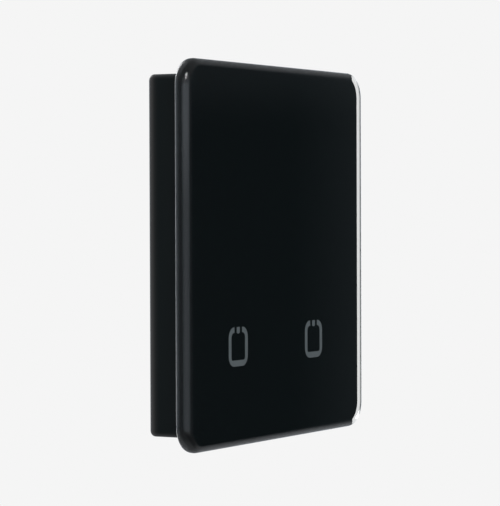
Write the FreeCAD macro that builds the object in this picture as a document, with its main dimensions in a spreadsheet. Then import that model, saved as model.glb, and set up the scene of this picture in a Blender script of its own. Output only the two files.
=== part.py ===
import FreeCAD, Part
import math
import os
import re

import Sketcher
from FreeCAD import Placement, Rotation, Vector

# Wireless light switch with two touch keys: a square glass plate on a slim moulded housing that
# clings by magnets to a plate on the wall. Millimetres. The wall is the plane Y = 0, the glass faces
# -Y, +X is to the right and +Z is up. The origin is the middle of the wall plate's back.
# A depth below is a distance from the wall, so it counts along -Y.

SIZES = {
    # glass plate
    "plate_side": 86.0,
    "plate_corner": 6.0,
    "glass_thick": 3.4,
    "glass_round": 1.9,
    "glass_heel": 0.4,
    "clear_border": 1.25,
    # gaps between the main pieces, front to back
    "wall_gap": 0.3,
    "tray_room": 0.25,
    "shadow_gap": 0.4,
    # marks of the touch keys
    "key_spread": 36.8,
    "key_drop": 20.7,
    "mark_side": 8.8,
    "mark_corner": 2.45,
    "mark_stroke": 1.25,
    "mark_opening": 3.5,
    "mark_bar": 1.45,
    # film, tape and carrier behind the glass
    "film_thick": 0.15,
    "tape_thick": 0.2,
    "tape_width": 3.6,
    "tape_inset": 0.5,
    "carrier_thick": 1.2,
    "carrier_ring": 5.4,
    "carrier_bar": 3.0,
    "carrier_corner": 0.8,
    "carrier_clearance": 0.25,
    "window_corner": 1.5,
    "key_arm": 2.4,
    "shield_bore": 9.4,
    "shield_wall": 0.8,
    "shield_gap": 0.4,
    "bar_rise": 7.5,
    "post_inset": 3.5,
    "post_diameter": 3.0,
    "post_length": 2.85,
    "post_clearance": 0.05,
    "post_tip": 0.4,
    # housing
    "overhang": 3.35,
    "housing_corner": 1.4,
    "housing_round": 1.1,
    "wall_thick": 1.6,
    "bay_corner": 1.0,
    "floor_thick": 1.2,
    "socket_wall": 1.5,
    "gusset_thick": 1.0,
    "gusset_drop": 1.2,
    "guide_wall": 0.8,
    "guide_drop": 0.2,
    "pry_width": 8.0,
    "pry_depth": 0.8,
    "pry_height": 1.0,
    "pry_side": 26.0,
    # wall plate with its slots, pads and steel discs
    "mount_thick": 1.8,
    "mount_web": 1.2,
    "mount_rim": 1.6,
    "mount_clearance": 0.3,
    "mount_rib": 1.2,
    "rib_spread": 17.0,
    "rib_rise": 26.0,
    "slot_inset": 7.6,
    "slot_width": 4.2,
    "slot_length": 8.0,
    "head_window_length": 15.0,
    "head_window_width": 9.4,
    "pad_thick": 0.6,
    "pad_length": 52.0,
    "pad_width": 12.0,
    "pad_spread": 55.0,
    "disc_diameter": 12.0,
    "disc_thick": 0.8,
    "disc_clearance": 0.1,
    "disc_rim": 1.4,
    # magnets
    "magnet_diameter": 10.0,
    "magnet_thick": 1.6,
    "magnet_skin": 0.4,
    "magnet_clearance": 0.1,
    "magnet_rim": 0.9,
    "magnet_spread": 44.0,
    "magnet_rise": 30.0,
    # circuit board and its screws
    "board_stand": 1.2,
    "board_thick": 1.0,
    "board_margin": 2.0,
    "board_corner": 1.0,
    "board_clearance": 0.4,
    "screw_inset": 3.45,
    "screw_drop": 10.05,
    "screw_boss": 4.6,
    "screw_shank": 1.9,
    "screw_play": 0.05,
    "screw_hole": 2.2,
    "screw_head": 3.6,
    "screw_head_tall": 1.0,
    "screw_reach": 1.9,
    "screw_pilot_spare": 0.3,
    "head_recess": 1.8,
    "head_recess_wide": 0.5,
    "head_recess_deep": 0.5,
    # touch springs
    "spring_wire": 0.4,
    "spring_sides": 8,
    "spring_foot": 6.0,
    "spring_head": 7.8,
    "spring_turns": 2.5,
    "spring_rise": 1.0,
    "spring_play": 0.15,
    "spring_pin": 0.9,
    "pin_hole": 0.7,
    # electronics on the board
    "lamp_length": 2.0,
    "lamp_width": 1.3,
    "lamp_tall": 0.5,
    "lens_length": 1.3,
    "lens_tall": 0.25,
    "chip_x": -6.0,
    "chip_z": -3.0,
    "chip_length": 9.9,
    "chip_width": 3.9,
    "chip_lift": 0.1,
    "chip_tall": 1.4,
    "lead_pitch": 1.27,
    "lead_count": 8,
    "lead_width": 0.42,
    "lead_thick": 0.2,
    "lead_reach": 1.05,
    "lead_foot": 0.6,
    "radio_x": 2.0,
    "radio_z": 18.0,
    "radio_width": 15.4,
    "radio_height": 20.6,
    "radio_thick": 0.8,
    "pin_pitch": 1.5,
    "pin_count": 8,
    "pin_notch": 0.8,
    "shield_width": 13.0,
    "shield_height": 12.4,
    "shield_tall": 1.35,
    "shield_round": 0.4,
    "shield_edge": 0.3,
    "shield_inset": 0.9,
    "trace_width": 0.5,
    "trace_thick": 0.05,
    "trace_pitch": 1.3,
    "trace_turns": 4,
    "trace_tall": 4.4,
    "crystal_x": 8.0,
    "crystal_z": -3.2,
    "crystal_length": 3.2,
    "crystal_width": 2.5,
    "crystal_tall": 0.7,
    "crystal_lid": 0.15,
    "part_length": 1.6,
    "part_width": 0.8,
    "part_tall": 0.8,
    "resistor_tall": 0.45,
    "bulk_length": 3.5,
    "bulk_width": 2.8,
    "bulk_tall": 1.9,
    # pairing button and its switch
    "button_inset": 7.3,
    "button_length": 4.0,
    "button_width": 1.8,
    "button_sink": 0.1,
    "button_play": 0.1,
    "button_flange": 0.3,
    "flange_tall": 0.7,
    "button_travel": 0.25,
    "switch_length": 4.6,
    "switch_width": 3.2,
    "switch_tall": 2.0,
    "plunger_diameter": 1.4,
    "plunger_play": 0.05,
    "plunger_depth": 1.1,
    "plunger_spare": 0.15,
    # coin cell, its tray and its contacts
    "cell_diameter": 20.0,
    "cell_thick": 3.2,
    "cell_cap": 17.6,
    "cell_step": 0.3,
    "cell_round": 0.4,
    "cell_play": 0.2,
    "tray_face": 1.9,
    "tray_side": 2.05,
    "tray_end": 1.4,
    "tray_floor": 0.6,
    "tray_lip": 0.2,
    "tray_lift": 0.2,
    "tray_play": 0.15,
    "tray_gate": 7.0,
    "tray_slot": 5.2,
    "tray_slot_spare": 2.5,
    "tray_corner": 1.0,
    "thumb_length": 10.0,
    "thumb_width": 1.6,
    "thumb_depth": 0.8,
    "leaf_thick": 0.2,
    "leaf_bend": 0.5,
    "leaf_inset": 0.4,
    "leaf_lead": 0.75,
    "leaf_reach": 4.4,
    "leaf_tail": 1.5,
    "plus_width": 4.0,
    "minus_width": 3.5,
    "contact_play": 0.05,
    "contact_pad": 3.0,
    "contact_room": 2.0,
}

# Places of the small parts on the board, as offsets from the middle of the board.
CAPACITOR_PLACES = ((-12.0, 6.0), (-12.0, 9.0), (12.5, 6.0), (12.5, 9.0), (3.5, -3.0), (-14.5, -3.0))
RESISTOR_PLACES = ((-26.0, 12.0), (-26.0, 14.5), (26.0, 12.0), (26.0, 14.5), (-21.5, -10.5), (21.5, -10.5))
BULK_PLACE = (-16.0, 24.0)

NEAR = 1e-4

DOC = FreeCAD.newDocument("light_switch")
SHEET = DOC.addObject("Spreadsheet::Sheet", "sizes")
for row, (alias, number) in enumerate(SIZES.items(), start=1):
    SHEET.set(f"A{row}", str(number))
    SHEET.setAlias(f"A{row}", alias)
DOC.recompute()
PIECES = []

# Depths and lengths that follow from the sizes.
FLOOR_FRONT = "(mount_thick + floor_thick)"
BOARD_BACK = f"({FLOOR_FRONT} + board_stand)"
BOARD_FRONT = f"({BOARD_BACK} + board_thick)"
TRAY_BACK = f"({FLOOR_FRONT} + tray_lift)"
CELL_BACK = f"({TRAY_BACK} + tray_floor)"
TRAY_FRONT = f"({CELL_BACK} + cell_thick + tray_lip)"
CARRIER_BACK = f"({TRAY_FRONT} + tray_room)"
TAPE_BACK = f"({CARRIER_BACK} + carrier_thick)"
FILM_BACK = f"({TAPE_BACK} + tape_thick)"
GLASS_BACK = f"({FILM_BACK} + film_thick)"
GLASS_FRONT = f"({GLASS_BACK} + glass_thick)"
HOUSING_RIM = f"({GLASS_BACK} - shadow_gap)"
HOUSING_SIDE = "(plate_side - 2 * overhang)"
BAY_SIDE = f"({HOUSING_SIDE} - 2 * wall_thick)"
BOARD_SIDE = f"({BAY_SIDE} - 2 * board_margin)"
MOUNT_SIDE = f"({BAY_SIDE} - 2 * mount_clearance)"
CARRIER_SIDE = f"({BAY_SIDE} - 2 * carrier_clearance)"
SLOT_PITCH = f"({MOUNT_SIDE} - 2 * slot_inset)"
POST_SPREAD = f"({CARRIER_SIDE} - 2 * post_inset)"
SCREW_SPREAD = f"({BOARD_SIDE} - 2 * screw_inset)"
SCREW_RISE = f"({BOARD_SIDE} - 2 * screw_drop)"
BUTTON_X = f"({POST_SPREAD} / 2 - button_inset)"
KEY_X = "(key_spread / 2)"
KEY_Z = "(-key_drop)"
BOTTOM = f"(-{HOUSING_SIDE} / 2)"
BAY_BOTTOM = f"(-{BAY_SIDE} / 2)"
CELL_Z = f"({BOTTOM} + tray_face + cell_play + cell_diameter / 2)"
TRAY_TOP = f"({CELL_Z} + cell_diameter / 2 + cell_play + tray_end)"
TRAY_WIDTH = "(cell_diameter + 2 * cell_play + 2 * tray_side)"
GUIDE_X = f"({TRAY_WIDTH} / 2 + tray_play)"
GUIDE_FRONT = f"({BOARD_FRONT} - guide_drop)"
GUIDE_TOP = f"({TRAY_TOP} + cell_play)"
BAY_CUT_TOP = f"({TRAY_TOP} + contact_room)"
SOCKET_RADIUS = "(post_diameter / 2 + post_clearance + socket_wall)"
SWITCH_BOTTOM = f"(-{BOARD_SIDE} / 2 + button_play)"
BUTTON_DEPTH = f"({BOARD_FRONT} + switch_tall / 2)"


def bound(text):
    """The expression with each size's name pointed at its cell in the sheet."""
    return re.sub(r"[a-z][a-z_]*", lambda m: f"sizes.{m[0]}" if m[0] in SIZES else m[0], text)


def value(text):
    """The number that an expression of the sizes comes to."""
    return float(SHEET.evalExpression(bound(text)))


def new_body(label):
    """A new sub-part."""
    body = DOC.addObject("PartDesign::Body", label)
    body.Label = label
    PIECES.append(body)
    return body


def new_sketch(body, role, offset):
    """A sketch on one of the body's own planes, moved along the plane's normal."""
    sketch = body.newObject("Sketcher::SketchObject", f"{body.Name}_sketch")
    plane = next(item for item in body.Origin.OriginFeatures if item.Role == role)
    sketch.AttachmentSupport = [(plane, "")]
    sketch.MapMode = "FlatFace"
    sketch.setExpression("AttachmentOffset.Base.z", bound(offset))
    return sketch


def front_sketch(body, depth):
    """A sketch parallel to the wall at that depth: its axes are X and Z, and it faces the front."""
    return new_sketch(body, "XZ_Plane", depth)


def level_sketch(body, height):
    """A level sketch at that height: its axes are X and Y, and it faces up."""
    return new_sketch(body, "XY_Plane", height)


def upright_sketch(body, across):
    """A sketch square to X at that place: its axes are Y and Z, and it faces right."""
    return new_sketch(body, "YZ_Plane", across)


def dimension(sketch, kind, references, text):
    """A dimension of the sketch, bound to the sizes."""
    index = sketch.addConstraint(Sketcher.Constraint(kind, *references, value(text)))
    sketch.renameConstraint(index, f"size_{index}")
    sketch.setExpression(f"Constraints.size_{index}", bound(text))


def place(sketch, shape, point, x, z):
    """Fixes a point of the sketch at its two coordinates."""
    for kind, axis, text in (("DistanceX", -2, x), ("DistanceY", -1, z)):
        if text == "0":
            sketch.addConstraint(Sketcher.Constraint("PointOnObject", shape, point, axis))
        else:
            dimension(sketch, kind, (-1, 1, shape, point), text)


def circle(sketch, diameter, x="0", z="0"):
    """A circle in the sketch."""
    centre = Vector(value(x), value(z), 0)
    shape = sketch.addGeometry(Part.Circle(centre, Vector(0, 0, 1), value(diameter) / 2))
    dimension(sketch, "Diameter", (shape,), diameter)
    place(sketch, shape, 3, x, z)


def polygon(sketch, corners):
    """A closed outline of straight lines through the corners."""
    points = [Vector(value(x), value(z), 0) for x, z in corners]
    first = sketch.GeometryCount
    for start, end in zip(points, points[1:] + points[:1]):
        sketch.addGeometry(Part.LineSegment(start, end))
    count = len(points)
    for step in range(count):
        joint = (first + step, 2, first + (step + 1) % count, 1)
        sketch.addConstraint(Sketcher.Constraint("Coincident", *joint))
    for step, (x, z) in enumerate(corners):
        place(sketch, first + step, 1, x, z)


def rectangle(sketch, width, height, x="0", z="0"):
    """A rectangle about its middle."""
    left, right = f"({x} - {width} / 2)", f"({x} + {width} / 2)"
    low, high = f"({z} - {height} / 2)", f"({z} + {height} / 2)"
    polygon(sketch, ((left, low), (right, low), (right, high), (left, high)))


def arc(x, z, radius, start, end):
    """An arc between two angles in degrees."""
    whole = Part.Circle(Vector(x, z, 0), Vector(0, 0, 1), radius)
    return Part.ArcOfCircle(whole, math.radians(start), math.radians(end))


def rounded_rectangle(sketch, width, height, radius, x="0", z="0"):
    """A rectangle with round corners about its middle."""
    half_w, half_h, r = value(width) / 2, value(height) / 2, value(radius)
    cx, cz = value(x), value(z)
    first = sketch.GeometryCount
    for turn in range(4):
        across, up = (half_w, half_h) if turn % 2 == 0 else (half_h, half_w)
        spin = Rotation(Vector(0, 0, 1), 90 * turn)
        middle = Vector(cx, cz, 0)
        start = middle + spin.multVec(Vector(-across + r, -up, 0))
        end = middle + spin.multVec(Vector(across - r, -up, 0))
        corner = middle + spin.multVec(Vector(across - r, -up + r, 0))
        sketch.addGeometry(Part.LineSegment(start, end))
        sketch.addGeometry(arc(corner.x, corner.y, r, -90 + 90 * turn, 90 * turn))
    for step in range(8):
        joint = (first + step, 2, first + (step + 1) % 8, 1)
        sketch.addConstraint(Sketcher.Constraint("Tangent", *joint))
    for line, kind in ((0, "Horizontal"), (2, "Vertical"), (4, "Horizontal"), (6, "Vertical")):
        sketch.addConstraint(Sketcher.Constraint(kind, first + line))
    for other in (3, 5, 7):
        sketch.addConstraint(Sketcher.Constraint("Equal", first + 1, first + other))
    dimension(sketch, "Radius", (first + 1,), radius)
    dimension(sketch, "DistanceX", (first + 6, 1, first + 2, 1), width)
    dimension(sketch, "DistanceY", (first, 1, first + 4, 1), height)
    dimension(sketch, "DistanceX", (-1, 1, first + 2, 1), f"{x} + {width} / 2")
    dimension(sketch, "DistanceY", (-1, 1, first + 4, 1), f"{z} + {height} / 2")


def pill(sketch, length, width, x="0", z="0"):
    """A slot with half-round ends, lying along the sketch's first axis."""
    r, half = value(width) / 2, (value(length) - value(width)) / 2
    cx, cz = value(x), value(z)
    first = sketch.GeometryCount
    sketch.addGeometry(Part.LineSegment(Vector(cx - half, cz - r, 0), Vector(cx + half, cz - r, 0)))
    sketch.addGeometry(arc(cx + half, cz, r, -90, 90))
    sketch.addGeometry(Part.LineSegment(Vector(cx + half, cz + r, 0), Vector(cx - half, cz + r, 0)))
    sketch.addGeometry(arc(cx - half, cz, r, 90, 270))
    for step in range(4):
        joint = (first + step, 2, first + (step + 1) % 4, 1)
        sketch.addConstraint(Sketcher.Constraint("Tangent", *joint))
    sketch.addConstraint(Sketcher.Constraint("Horizontal", first))
    sketch.addConstraint(Sketcher.Constraint("Equal", first + 1, first + 3))
    dimension(sketch, "Radius", (first + 1,), f"{width} / 2")
    place(sketch, first + 1, 3, f"({x} + ({length} - {width}) / 2)", z)
    dimension(sketch, "DistanceX", (first + 3, 3, first + 1, 3), f"{length} - {width}")


def volume(body):
    """The body's volume so far."""
    DOC.recompute()
    return body.Shape.Volume if body.Shape.Solids else 0.0


def pad(body, sketch, length):
    """Adds material from the sketch along its normal."""
    before = volume(body)
    feature = body.newObject("PartDesign::Pad", f"{body.Name}_pad")
    feature.Profile = sketch
    feature.setExpression("Length", bound(length))
    feature.AllowMultiFace = True
    if volume(body) <= before:
        raise RuntimeError(f"{feature.Name} adds nothing")
    return feature


def pocket(body, sketch, length, along=False):
    """Cuts from the sketch against its normal, or along it."""
    before = volume(body)
    feature = body.newObject("PartDesign::Pocket", f"{body.Name}_pocket")
    feature.Profile = sketch
    feature.setExpression("Length", bound(length))
    feature.Reversed = along
    if volume(body) >= before:
        raise RuntimeError(f"{feature.Name} cuts nothing")
    return feature


def edges_at(feature, depth):
    """The names of a feature's edges that lie wholly at that depth."""
    found = []
    for number, edge in enumerate(feature.Shape.Edges, start=1):
        box = edge.BoundBox
        if abs(box.YMin + depth) < NEAR and abs(box.YMax + depth) < NEAR:
            found.append(f"Edge{number}")
    return found


def end_corners(feature, height):
    """The names of a feature's edges that run along Y at that height."""
    found = []
    for number, edge in enumerate(feature.Shape.Edges, start=1):
        box = edge.BoundBox
        if box.XLength < NEAR and abs(box.ZMin - height) < NEAR and abs(box.ZMax - height) < NEAR:
            found.append(f"Edge{number}")
    return found


def dress(body, kind, feature, edges, size):
    """Rounds or bevels the named edges of a feature."""
    dressing = body.newObject(f"PartDesign::{kind}", f"{body.Name}_{kind.lower()}")
    dressing.Base = (feature, edges)
    dressing.setExpression("Radius" if kind == "Fillet" else "Size", bound(size))
    DOC.recompute()
    return dressing


def four_ways(across, up):
    """The four places at plus and minus half of two spreads."""
    return [(f"({sx} * {across} / 2)", f"({sz} * {up} / 2)") for sx in (-1, 1) for sz in (-1, 1)]


def glass_panel():
    """The square glass plate: a soft round along its front edge and a fine one along its back edge."""
    body = new_body("glass_panel")
    sketch = front_sketch(body, GLASS_BACK)
    rounded_rectangle(sketch, "plate_side", "plate_side", "plate_corner")
    slab = pad(body, sketch, "glass_thick")
    front = dress(body, "Fillet", slab, edges_at(slab, value(GLASS_FRONT)), "glass_round")
    dress(body, "Fillet", front, edges_at(front, value(GLASS_BACK)), "glass_heel")


def power_mark(label, x):
    """One key's mark: a rounded square ring, open at its top, with a short bar in the opening."""
    body = new_body(label)
    ring = front_sketch(body, FILM_BACK)
    rounded_rectangle(ring, "mark_side", "mark_side", "mark_corner", x, KEY_Z)
    inside = "(mark_side - 2 * mark_stroke)"
    rounded_rectangle(ring, inside, inside, "(mark_corner - mark_stroke)", x, KEY_Z)
    pad(body, ring, "film_thick")
    opening = front_sketch(body, GLASS_BACK)
    rectangle(opening, "mark_opening", "(2 * mark_stroke + mark_bar / 2)", x, f"({KEY_Z} + mark_side / 2)")
    pocket(body, opening, "film_thick")
    bar = front_sketch(body, FILM_BACK)
    top = f"({KEY_Z} + mark_side / 2)"
    rounded_rectangle(bar, "mark_bar", "mark_bar", "(mark_bar / 4)", x, f"({top} - mark_bar / 2)")
    pad(body, bar, "film_thick")
    return body


def printed_film(marks):
    """The black print behind the glass, with the marks left out of it."""
    blank = DOC.addObject("PartDesign::Body", "film_blank")
    sketch = front_sketch(blank, FILM_BACK)
    side = "(plate_side - 2 * clear_border)"
    rounded_rectangle(sketch, side, side, "(plate_corner - clear_border)")
    pad(blank, sketch, "film_thick")
    both = DOC.addObject("Part::MultiFuse", "film_openings")
    both.Shapes = marks
    film = DOC.addObject("Part::Cut", "printed_film")
    film.Label = "printed_film"
    film.Base = blank
    film.Tool = both
    PIECES.append(film)


def panel_tape():
    """The ring of bonding tape between the film and the carrier."""
    body = new_body("panel_tape")
    sketch = front_sketch(body, TAPE_BACK)
    outer = f"({CARRIER_SIDE} - 2 * tape_inset)"
    inner = f"({outer} - 2 * tape_width)"
    rounded_rectangle(sketch, outer, outer, "carrier_corner")
    rounded_rectangle(sketch, inner, inner, "window_corner")
    pad(body, sketch, "tape_thick")


def carrier_frame():
    """The moulded frame that carries the glass: a ring, bars and a collar on two arms behind each key."""
    body = new_body("carrier_frame")
    outline = front_sketch(body, CARRIER_BACK)
    rounded_rectangle(outline, CARRIER_SIDE, CARRIER_SIDE, "carrier_corner")
    pad(body, outline, "carrier_thick")

    windows = front_sketch(body, TAPE_BACK)
    inner = f"({CARRIER_SIDE} - 2 * carrier_ring)"
    bar_z = f"({KEY_Z} + shield_bore / 2 + shield_wall + bar_rise)"
    upper = f"({inner} / 2 - ({bar_z} + carrier_bar / 2))"
    upper_z = f"({inner} / 2 - {upper} / 2)"
    rounded_rectangle(windows, inner, upper, "window_corner", "0", upper_z)
    lower = f"(({bar_z} - carrier_bar / 2) + {inner} / 2)"
    lower_z = f"(-{inner} / 2 + {lower} / 2)"
    half = f"(({inner} - carrier_bar) / 2)"
    for sign in ("-", ""):
        x = f"({sign}({half} / 2 + carrier_bar / 2))"
        rounded_rectangle(windows, half, lower, "window_corner", x, lower_z)
    pocket(body, windows, "carrier_thick")

    arms = front_sketch(body, CARRIER_BACK)
    for sign in ("-", ""):
        rectangle(arms, f"({half} + carrier_bar)", "key_arm", f"({sign}({inner} / 4))", KEY_Z)
    pad(body, arms, "carrier_thick")

    collars = front_sketch(body, CARRIER_BACK)
    for sign in ("-", ""):
        circle(collars, "(shield_bore + 2 * shield_wall)", f"({sign}{KEY_X})", KEY_Z)
    pad(body, collars, "carrier_thick")
    bores = front_sketch(body, TAPE_BACK)
    for sign in ("-", ""):
        circle(bores, "shield_bore", f"({sign}{KEY_X})", KEY_Z)
    pocket(body, bores, "carrier_thick")


def light_shields():
    """The two rubber sleeves behind the carrier's collars, which keep each lamp's light to its own key."""
    body = new_body("light_shields")
    foot = f"({BOARD_FRONT} + shield_gap)"
    sleeves = front_sketch(body, foot)
    for sign in ("-", ""):
        circle(sleeves, "(shield_bore + 2 * shield_wall)", f"({sign}{KEY_X})", KEY_Z)
        circle(sleeves, "shield_bore", f"({sign}{KEY_X})", KEY_Z)
    pad(body, sleeves, f"({CARRIER_BACK} - {foot})")


def carrier_posts():
    """The four posts on the carrier's back, which grip in the housing's sockets."""
    body = new_body("carrier_posts")
    tips = f"({CARRIER_BACK} - post_length)"
    posts = front_sketch(body, tips)
    for x, z in four_ways(POST_SPREAD, POST_SPREAD):
        circle(posts, "post_diameter", x, z)
    shaped = pad(body, posts, "post_length")
    dress(body, "Chamfer", shaped, edges_at(shaped, value(tips)), "post_tip")


def housing():
    """The moulded housing: walls, floor, sockets, screw bosses, magnet cups and the tray's guides."""
    body = new_body("housing")
    outline = front_sketch(body, "wall_gap")
    rounded_rectangle(outline, HOUSING_SIDE, HOUSING_SIDE, "housing_corner")
    block = pad(body, outline, f"({HOUSING_RIM} - wall_gap)")
    dress(body, "Fillet", block, edges_at(block, value("wall_gap")), "housing_round")

    bay = front_sketch(body, HOUSING_RIM)
    rounded_rectangle(bay, BAY_SIDE, BAY_SIDE, "bay_corner")
    pocket(body, bay, f"({HOUSING_RIM} - {FLOOR_FRONT})")
    recess = front_sketch(body, "wall_gap")
    rounded_rectangle(recess, BAY_SIDE, BAY_SIDE, "bay_corner")
    pocket(body, recess, "(mount_thick - wall_gap)", along=True)

    sockets = front_sketch(body, FLOOR_FRONT)
    for x, z in four_ways(POST_SPREAD, POST_SPREAD):
        circle(sockets, f"(2 * {SOCKET_RADIUS})", x, z)
    pad(body, sockets, f"({CARRIER_BACK} - {FLOOR_FRONT})")
    reach = f"(({BAY_SIDE} - {POST_SPREAD}) / 2)"
    middle = f"(({BAY_SIDE} + {POST_SPREAD}) / 4)"
    gusset_tall = f"({CARRIER_BACK} - {FLOOR_FRONT} - gusset_drop)"
    across = front_sketch(body, FLOOR_FRONT)
    upward = front_sketch(body, FLOOR_FRONT)
    for sx in ("-", ""):
        for sz in ("-", ""):
            rectangle(across, reach, "gusset_thick", f"({sx}{middle})", f"({sz}{POST_SPREAD} / 2)")
            rectangle(upward, "gusset_thick", reach, f"({sx}{POST_SPREAD} / 2)", f"({sz}{middle})")
    pad(body, across, gusset_tall)
    pad(body, upward, gusset_tall)
    socket_bores = front_sketch(body, CARRIER_BACK)
    for x, z in four_ways(POST_SPREAD, POST_SPREAD):
        circle(socket_bores, "(post_diameter + 2 * post_clearance)", x, z)
    pocket(body, socket_bores, f"({CARRIER_BACK} - {FLOOR_FRONT})")

    bosses = front_sketch(body, FLOOR_FRONT)
    for x, z in four_ways(SCREW_SPREAD, SCREW_RISE):
        circle(bosses, "screw_boss", x, z)
    pad(body, bosses, "board_stand")
    pilots = front_sketch(body, BOARD_BACK)
    for x, z in four_ways(SCREW_SPREAD, SCREW_RISE):
        circle(pilots, "(screw_shank + 2 * screw_play)", x, z)
    pocket(body, pilots, "(screw_reach + screw_pilot_spare)")

    cups = front_sketch(body, FLOOR_FRONT)
    hollow = "(magnet_diameter + 2 * magnet_clearance)"
    for x, z in four_ways("magnet_spread", "magnet_rise"):
        circle(cups, f"({hollow} + 2 * magnet_rim)", x, z)
        circle(cups, hollow, x, z)
    pad(body, cups, "(magnet_skin + magnet_thick - floor_thick)")
    cup_floors = front_sketch(body, FLOOR_FRONT)
    for x, z in four_ways("magnet_spread", "magnet_rise"):
        circle(cup_floors, hollow, x, z)
    pocket(body, cup_floors, "(floor_thick - magnet_skin)")

    head_windows = front_sketch(body, FLOOR_FRONT)
    for sign in ("-", ""):
        pill(head_windows, "head_window_length", "head_window_width", f"({sign}{SLOT_PITCH} / 2)", "0")
    pocket(body, head_windows, "floor_thick")

    guides = front_sketch(body, FLOOR_FRONT)
    guide_tall = f"({GUIDE_TOP} - {BAY_BOTTOM} + wall_thick / 2)"
    guide_z = f"(({GUIDE_TOP} + {BAY_BOTTOM} - wall_thick / 2) / 2)"
    for sign in ("-", ""):
        rectangle(guides, "guide_wall", guide_tall, f"({sign}({GUIDE_X} + guide_wall / 2))", guide_z)
    pad(body, guides, f"({GUIDE_FRONT} - {FLOOR_FRONT})")

    openings = level_sketch(body, BOTTOM)
    door_tall = f"({TRAY_FRONT} - {FLOOR_FRONT} + tray_play)"
    door_y = f"(-({FLOOR_FRONT} + {door_tall} / 2))"
    rectangle(openings, f"(2 * {GUIDE_X})", door_tall, "0", door_y)
    hole_length = "(button_length + 2 * button_play)"
    hole_width = "(button_width + 2 * button_play)"
    pill(openings, hole_length, hole_width, BUTTON_X, f"(-{BUTTON_DEPTH})")
    pocket(body, openings, "wall_thick", along=True)

    pry = front_sketch(body, HOUSING_RIM)
    rectangle(pry, "pry_width", "(2 * pry_depth)", "(-pry_side)", BOTTOM)
    pocket(body, pry, "pry_height")


def wall_plate():
    """The plate on the wall: rim, ribs, disc seats, pad recesses and the two screw slots."""
    body = new_body("wall_plate")
    web = front_sketch(body, "0")
    rounded_rectangle(web, MOUNT_SIDE, MOUNT_SIDE, "bay_corner")
    pad(body, web, "mount_web")
    inner = f"({MOUNT_SIDE} - 2 * mount_rim)"
    rise = "(mount_thick - mount_web)"
    rim = front_sketch(body, "mount_web")
    rounded_rectangle(rim, MOUNT_SIDE, MOUNT_SIDE, "bay_corner")
    rounded_rectangle(rim, inner, inner, "(bay_corner / 2)")
    pad(body, rim, rise)
    uprights = front_sketch(body, "mount_web")
    levels = front_sketch(body, "mount_web")
    for sign in ("-", ""):
        rectangle(uprights, "mount_rib", f"({inner} + mount_rim)", f"({sign}rib_spread / 2)", "0")
        rectangle(levels, f"({inner} + mount_rim)", "mount_rib", "0", f"({sign}rib_rise)")
    pad(body, uprights, rise)
    pad(body, levels, rise)
    seats = front_sketch(body, "mount_web")
    for x, z in four_ways("magnet_spread", "magnet_rise"):
        circle(seats, "(disc_diameter + 2 * disc_clearance + 2 * disc_rim)", x, z)
    pad(body, seats, rise)
    disc_pockets = front_sketch(body, "mount_thick")
    for x, z in four_ways("magnet_spread", "magnet_rise"):
        circle(disc_pockets, "(disc_diameter + 2 * disc_clearance)", x, z)
    pocket(body, disc_pockets, "disc_thick")
    pad_recesses = front_sketch(body, "0")
    for sign in ("-", ""):
        rounded_rectangle(pad_recesses, "pad_length", "pad_width", "bay_corner", "0", f"({sign}pad_spread / 2)")
    pocket(body, pad_recesses, "pad_thick", along=True)
    slots = front_sketch(body, "mount_thick")
    for sign in ("-", ""):
        pill(slots, "slot_length", "slot_width", f"({sign}{SLOT_PITCH} / 2)", "0")
    pocket(body, slots, "mount_thick")


def adhesive_pads():
    """The two foam pads in the back of the wall plate."""
    body = new_body("adhesive_pads")
    sketch = front_sketch(body, "0")
    for sign in ("-", ""):
        rounded_rectangle(sketch, "pad_length", "pad_width", "bay_corner", "0", f"({sign}pad_spread / 2)")
    pad(body, sketch, "pad_thick")


def discs(label, diameter, depth, thick):
    """A set of four round discs behind each other's places: magnets, or the steel that they cling to."""
    body = new_body(label)
    sketch = front_sketch(body, depth)
    for x, z in four_ways("magnet_spread", "magnet_rise"):
        circle(sketch, diameter, x, z)
    pad(body, sketch, thick)


def circuit_board():
    """The board, cut round the battery tray and the four sockets."""
    body = new_body("circuit_board")
    outline = front_sketch(body, BOARD_BACK)
    rounded_rectangle(outline, BOARD_SIDE, BOARD_SIDE, "board_corner")
    pad(body, outline, "board_thick")
    cuts = front_sketch(body, BOARD_FRONT)
    notch = f"(({BOARD_SIDE} - {POST_SPREAD}) / 2 + {SOCKET_RADIUS} + board_clearance + board_corner)"
    middle = f"({BOARD_SIDE} / 2 + board_corner - {notch} / 2)"
    for sx in ("-", ""):
        for sz in ("-", ""):
            rounded_rectangle(cuts, notch, notch, "board_corner", f"({sx}{middle})", f"({sz}{middle})")
    bay_width = f"(2 * ({GUIDE_X} + guide_wall + board_clearance))"
    bay_tall = f"({BAY_CUT_TOP} + {BOARD_SIDE} / 2 + board_corner)"
    bay_z = f"({BAY_CUT_TOP} - {bay_tall} / 2)"
    rounded_rectangle(cuts, bay_width, bay_tall, "board_corner", "0", bay_z)
    pocket(body, cuts, "board_thick")
    holes = front_sketch(body, BOARD_FRONT)
    for x, z in four_ways(SCREW_SPREAD, SCREW_RISE):
        circle(holes, "screw_hole", x, z)
    for sign in ("-", ""):
        circle(holes, "pin_hole", f"({sign}{KEY_X} + spring_foot / 2)", KEY_Z)
    pocket(body, holes, "board_thick")


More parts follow.
